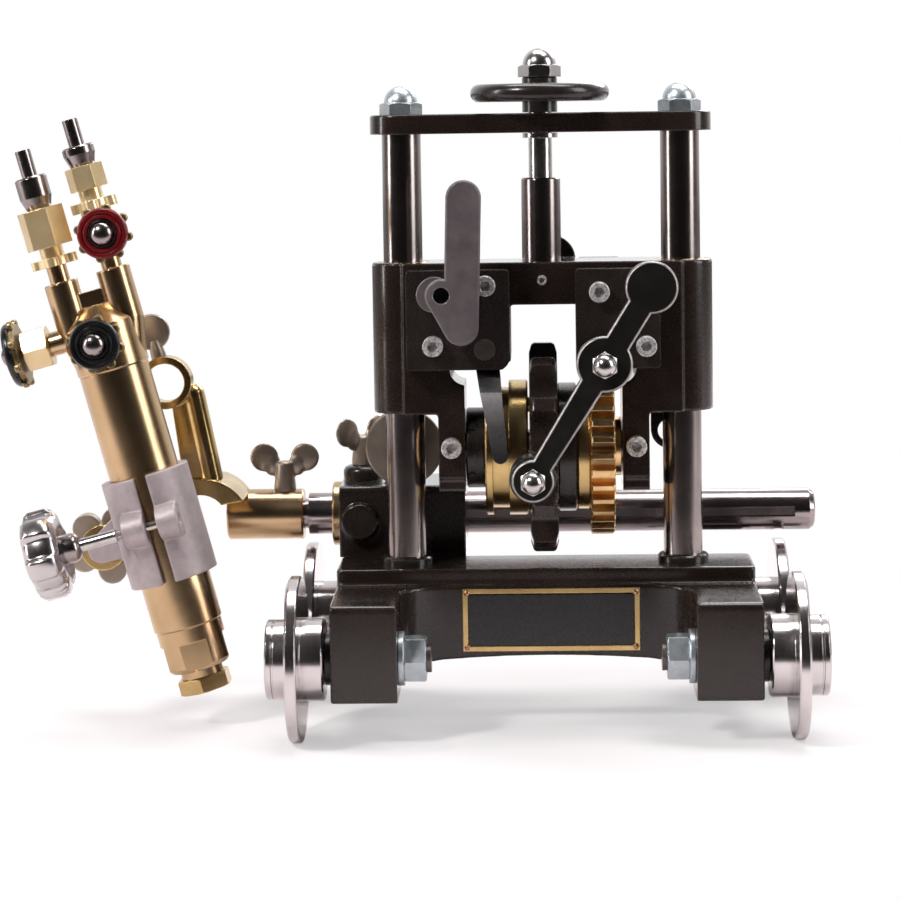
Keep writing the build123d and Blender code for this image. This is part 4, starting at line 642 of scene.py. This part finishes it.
def makeWingShape(name):
    w = wingScrew
    parts = [turned(name, [(w["hubFoot"], 0), (w["hubFoot"], 2.2), (w["hubTop"], w["hubHigh"] - 1),
                           (w["hubTop"] - 1.2, w["hubHigh"])], 40)]
    for side in (-1, 1):
        for share, r in ((0.28, 0.62), (0.62, 0.8), (1.0, 1.0)):
            bpy.ops.mesh.primitive_uv_sphere_add(segments=32, ring_count=16, radius=mm)
            lobe = bpy.context.object
            x = side * w["reach"] * share
            z = w["lift"] * (0.45 + 0.55 * share)
            lobe.matrix_world = Matrix.Translation(Vector((x, 0, z)) * mm) @ Matrix.Diagonal(
                (w["wingR"] * r * (0.75 if share < 1 else 1), w["thick"] / 2 * (1.35 if share < 1 else 1),
                 w["wingR"] * r, 1))
            settle(lobe)
            parts.append(lobe)
    return melted(joined(name, parts), 0.45, 6)


def makeWingScrews():
    a = makeWingShape("socketWing")
    place(a, wingScrew["socketAt"])
    finish(a, "taupeMetal", "socket_wing", "grey_steel", ("socket_wing_screw",))
    b = makeWingShape("rodWing")
    collar = turned("rodWingCollar", [(10.4, 0), (10.4, 4.6), (9.6, 6.4), (7.4, 7.5)], 64)
    place(b, (0, 0, 7.5), turns=[("Z", 45)])
    finish(b, "taupeMetal", "rod_wing", "bronze", ("rod_wing_screw",))
    place(b, wingScrew["rodAt"])
    place(collar, wingScrew["rodAt"])
    finish(collar, "blackSatin", "rod_wing", "black_steel")
    print("wing screws ready")


# Thumb screw at the arm's ring: a flat round head with soft edges on a short shank
thumbScrew = {"r": 9.6, "thick": 3.0, "lift": 13.2, "shank": 4.0, "seat": 14.1,
              "at": (-197.4, 20.2, 174.1), "lean": -15}


def makeThumbScrew():
    s = thumbScrew
    half = s["thick"] / 2
    head = turned("thumbHead", [(s["r"] - 1.2, -half), (s["r"] - 0.4, -half + 0.35), (s["r"], 0),
                                (s["r"] - 0.4, half - 0.35), (s["r"] - 1.2, half)], 64)
    place(head, (0, 0, s["lift"]), turns=[("X", 90)])
    shank = turned("thumbShank", [(s["shank"], -2.9), (s["shank"], 1.2), (s["shank"] - 0.5, 5.2),
                                  (s["shank"] - 1.4, 8.4)], 40)
    for piece, stands in ((head, ("eye_wing_screw",)), (shank, ())):
        place(piece, (0, 0, s["seat"]))
        place(piece, s["at"], turns=[("Y", s["lean"])])
        finish(piece, "taupeMetal", "eye_wing", "grey_steel", stands)
    print("thumb screw ready")


# Valve knobs: dull lobed plate, moulded ring with a groove, dark cup and a chrome dome
valveKnob = {"lobes": 8, "faceR": 12.9, "plateR": 12.5, "lobeR": 2.4, "thick": 7.0, "ringR": 7.3}
# Name, scale, finish, slot, body, node, seat, place on the torch, turn
valveKnobs = [
    ("blackKnob", 1.0, "blackMoulded", "black_plastic", "knob_black", "valve_knob_black",
     (0, -30.0, 0), (0, 0, 54.2), ("X", 90)),
    ("redKnob", 1.0, "redMoulded", "red_plastic", "knob_red", "valve_knob_red",
     (0, -30.0, 0), (19.5, 0, 106.3), ("X", 90)),
    ("sideKnob", 1.3, "blackMoulded", "black_plastic", "knob_side", "valve_knob_side",
     (-42.6, 0, 0), (0, 0, 58.8), ("Y", -90)),
]


def makeValveKnob(name, scale, faceLook, faceSlot, body, node, seat, at, turn):
    k = valveKnob
    made = []
    t = k["thick"]
    r = k["faceR"] * scale
    inner = k["ringR"] * scale
    face = turned(name + "Face", [
        (r * 0.93, t * 0.36), (r * 0.985, t * 0.44), (r, t * 0.60), (r * 0.985, t * 0.80),
        (r * 0.93, t * 0.96), (r * 0.85, t), (r * 0.79, t * 0.97), (r * 0.765, t * 0.88),
        (r * 0.74, t * 0.88), (r * 0.715, t * 0.98), (r * 0.66, t), (inner * 1.06, t * 0.96),
        (inner, t * 0.80), (inner, t * 0.62)], 72)
    made.append((face, faceLook, faceSlot))
    plateR = k["plateR"] * scale
    plate = [turned(name + "Plate", [(plateR * 0.94, 0), (plateR * 0.96, t * 0.40)], 72)]
    for i in range(k["lobes"]):
        a = 2 * math.pi * (i + 0.5) / k["lobes"]
        lobe = turned(name + "Lobe", [(k["lobeR"] * 0.75, 0), (k["lobeR"], 0.7),
                                      (k["lobeR"], t * 0.46 - 0.7), (k["lobeR"] * 0.75, t * 0.46)], 20)
        place(lobe, (plateR * math.cos(a), plateR * math.sin(a), 0))
        plate.append(lobe)
    made.append((joined(name + "Plate", plate), "brassDull", "brass"))
    ring = turned(name + "Ring", [(inner * 0.99, t * 0.64), (inner * 0.99, t * 0.9), (inner * 0.93, t * 0.97),
                                  (6.1, t * 0.97), (6.0, t * 0.90)], 48)
    made.append((ring, "blackOxide", "zinc_steel"))
    dome = turned(name + "Dome", [(5.8, t * 0.9), (5.8, t + 0.5), (5.5, t + 1.5), (4.8, t + 2.5),
                                  (3.8, t + 3.3), (2.6, t + 3.9), (1.3, t + 4.2), (0.4, t + 4.3)], 48)
    made.append((dome, "darkChrome", "chrome"))
    stem = turned(name + "Stem", [(3.0, -4.4), (3.0, 0.1)], 32)
    made.append((stem, "brassPolished", "brass"))
    for i, (piece, finishName, slot) in enumerate(made):
        place(piece, seat, turns=[turn])
        onTorch(piece, at)
        finish(piece, finishName, body, slot, (node,) if i == 0 else ())


# The fluted clamp knob: a disc with scooped flutes and a domed face
flutedKnob = {"r": 23.0, "flutes": 6, "deep": 2.9, "turn": 108, "near": -46.0, "far": -64.0,
              "at": (0, -21.2, -42.2)}


def makeFlutedKnob():
    f = flutedKnob
    h = f["near"] - f["far"]
    knob = turned("flutedKnob", [(f["r"] * 0.62, 0), (f["r"] * 0.8, 0.3), (f["r"] * 0.93, 1.6), (f["r"], 4.0),
                                 (f["r"], h - 5.5), (f["r"] * 0.95, h - 2.6), (f["r"] * 0.84, h - 1.0),
                                 (f["r"] * 0.66, h - 0.2), (f["r"] * 0.5, h), (f["r"] * 0.42, h - 0.8),
                                 (f["r"] * 0.2, h - 1.2)], 144)
    for v in knob.data.vertices:
        far = math.hypot(v.co.x, v.co.y)
        if far > f["r"] * 0.6 * mm:
            a = (math.atan2(v.co.y, v.co.x) + math.radians(f["turn"])) * f["flutes"]
            dip = max(0.0, min(1.0, 0.5 + 2.2 * math.cos(a))) * f["deep"] * mm
            dip *= min(1.0, (far / mm / f["r"] - 0.6) / 0.33)
            v.co.x *= 1 - dip / far
            v.co.y *= 1 - dip / far
    neck = turned("flutedNeck", [(7.5, h - 1.5), (7.5, h + 4.8), (6.6, h + 6.8), (4.2, h + 8.4)], 40)
    screw = turned("clampScrew", [(3.3, h + 7), (3.3, h + 27.2), (2.9, h + 27.6), (2.3, h + 28.4),
                                  (2.3, h + 59.8)], 40)
    for piece, finishName, slot, stands in ((knob, "knobChrome", "chrome", ("clamp_knob",)),
                                            (neck, "darkChrome", "chrome", ()),
                                            (screw, "zincSteel", "zinc_steel", ())):
        onTorch(place(piece, (f["far"], 0, 0), turns=[("Y", 90)]), f["at"])
        finish(piece, finishName, "clamp_screw", slot, stands)
    print("fluted knob ready")


# Name plate: bare field in a raised frame, with four copper rivets
plateTrim = {"wide": 90.0, "high": 32.2, "shift": 2.65, "middle": 55.0, "face": -25.2, "frame": 2.6,
             "rivetR": 1.5, "inset": 2.2}


def makePlateTrim():
    p = plateTrim
    for sx in (-1, 1):
        for sz in (-1, 1):
            rivet = turned("plateRivet", [(p["rivetR"], 0), (p["rivetR"], 0.25), (p["rivetR"] * 0.86, 0.62),
                                          (p["rivetR"] * 0.55, 0.9), (p["rivetR"] * 0.2, 1.0)], 28)
            place(rivet, (p["shift"] + sx * (p["wide"] / 2 - p["inset"]), p["face"],
                          p["middle"] + sz * (p["high"] / 2 - p["inset"])), turns=[("X", 90)])
            finish(rivet, "copperRivet", "base", "brass")
    bpy.ops.mesh.primitive_plane_add(size=1)
    field = bpy.context.object
    field.name = "plateField"
    inside = 2 * p["frame"] + 0.2
    field.scale = ((p["wide"] - inside) * mm, (p["high"] - inside) * mm, 1)
    settle(field)
    onlyThis(field)
    bpy.ops.object.mode_set(mode="EDIT")
    bpy.ops.mesh.select_all(action="SELECT")
    bpy.ops.mesh.inset(thickness=0.6 * mm, depth=0.12 * mm)
    bpy.ops.object.mode_set(mode="OBJECT")
    solid = field.modifiers.new("thick", "SOLIDIFY")
    solid.thickness = 0.3 * mm
    applyAll(field)
    place(field, (p["shift"], p["face"] + 0.45, p["middle"]), turns=[("X", 90)])
    finish(field, "plateEnamel", "base", "black_steel")
    print("plate ready")


makeWingScrews()
makeThumbScrew()
for knob in valveKnobs:
    makeValveKnob(*knob)
print("valve knobs ready")
makeFlutedKnob()
makePlateTrim()
# Cast pieces: node, voxel in mm, finish, slot
castPieces = [
    ("base_casting", 0.9, "castPaint", "cast_iron"),
    ("carriage_casting", 0.8, "castPaint", "cast_iron"),
    ("rod_clamp_block", 0.7, "castPaint", "black_steel"),
    ("torch_arm", 0.4, "brassPolished", "brass"),
    ("torch_clamp", 0.5, "sandCast", "aluminium_cast"),
    ("tilt_knob", 0.5, "taupeMetal", "aluminium_cast"),
]
for node, voxel, finishName, slot in castPieces:
    castCopy(node, voxel, finishName, slot)
print("castings ready")
# Machined pieces: node, bevel in mm, finish, slot
edgedPieces = [
    ("lever_housing", 0.6, "blackSatin", "black_steel"),
    ("worm_housing", 0.6, "blackSatin", "black_steel"),
    ("top_plate", 0.8, "castPaint", "cast_iron"),
    ("clutch_fork", 0.4, "forkSteel", "black_steel"),
    ("clutch_lever", 0.5, "greyLever", "grey_steel"),
    ("chain_sprocket", 0.4, "castPaint", "black_steel"),
]
for node, width, finishName, slot in edgedPieces:
    edgedCopy(node, width, finishName, slot)
crank = edgedCopy("crank_arm", 0.25, "crankBlack", "black_steel", 1)
faceFinish(crank, "bareEdge", lambda n, c: -0.95 < n.y < -0.3 and c.y < -87)
rings = edgedCopy("axle_washers", 0.3, "blueZinc", "zinc_steel", 1)
# The spacers outside the bosses get a dark finish
faceFinish(rings, "blackOxide", lambda n, c: abs(c.x) > 106.5)
print("machined pieces ready")
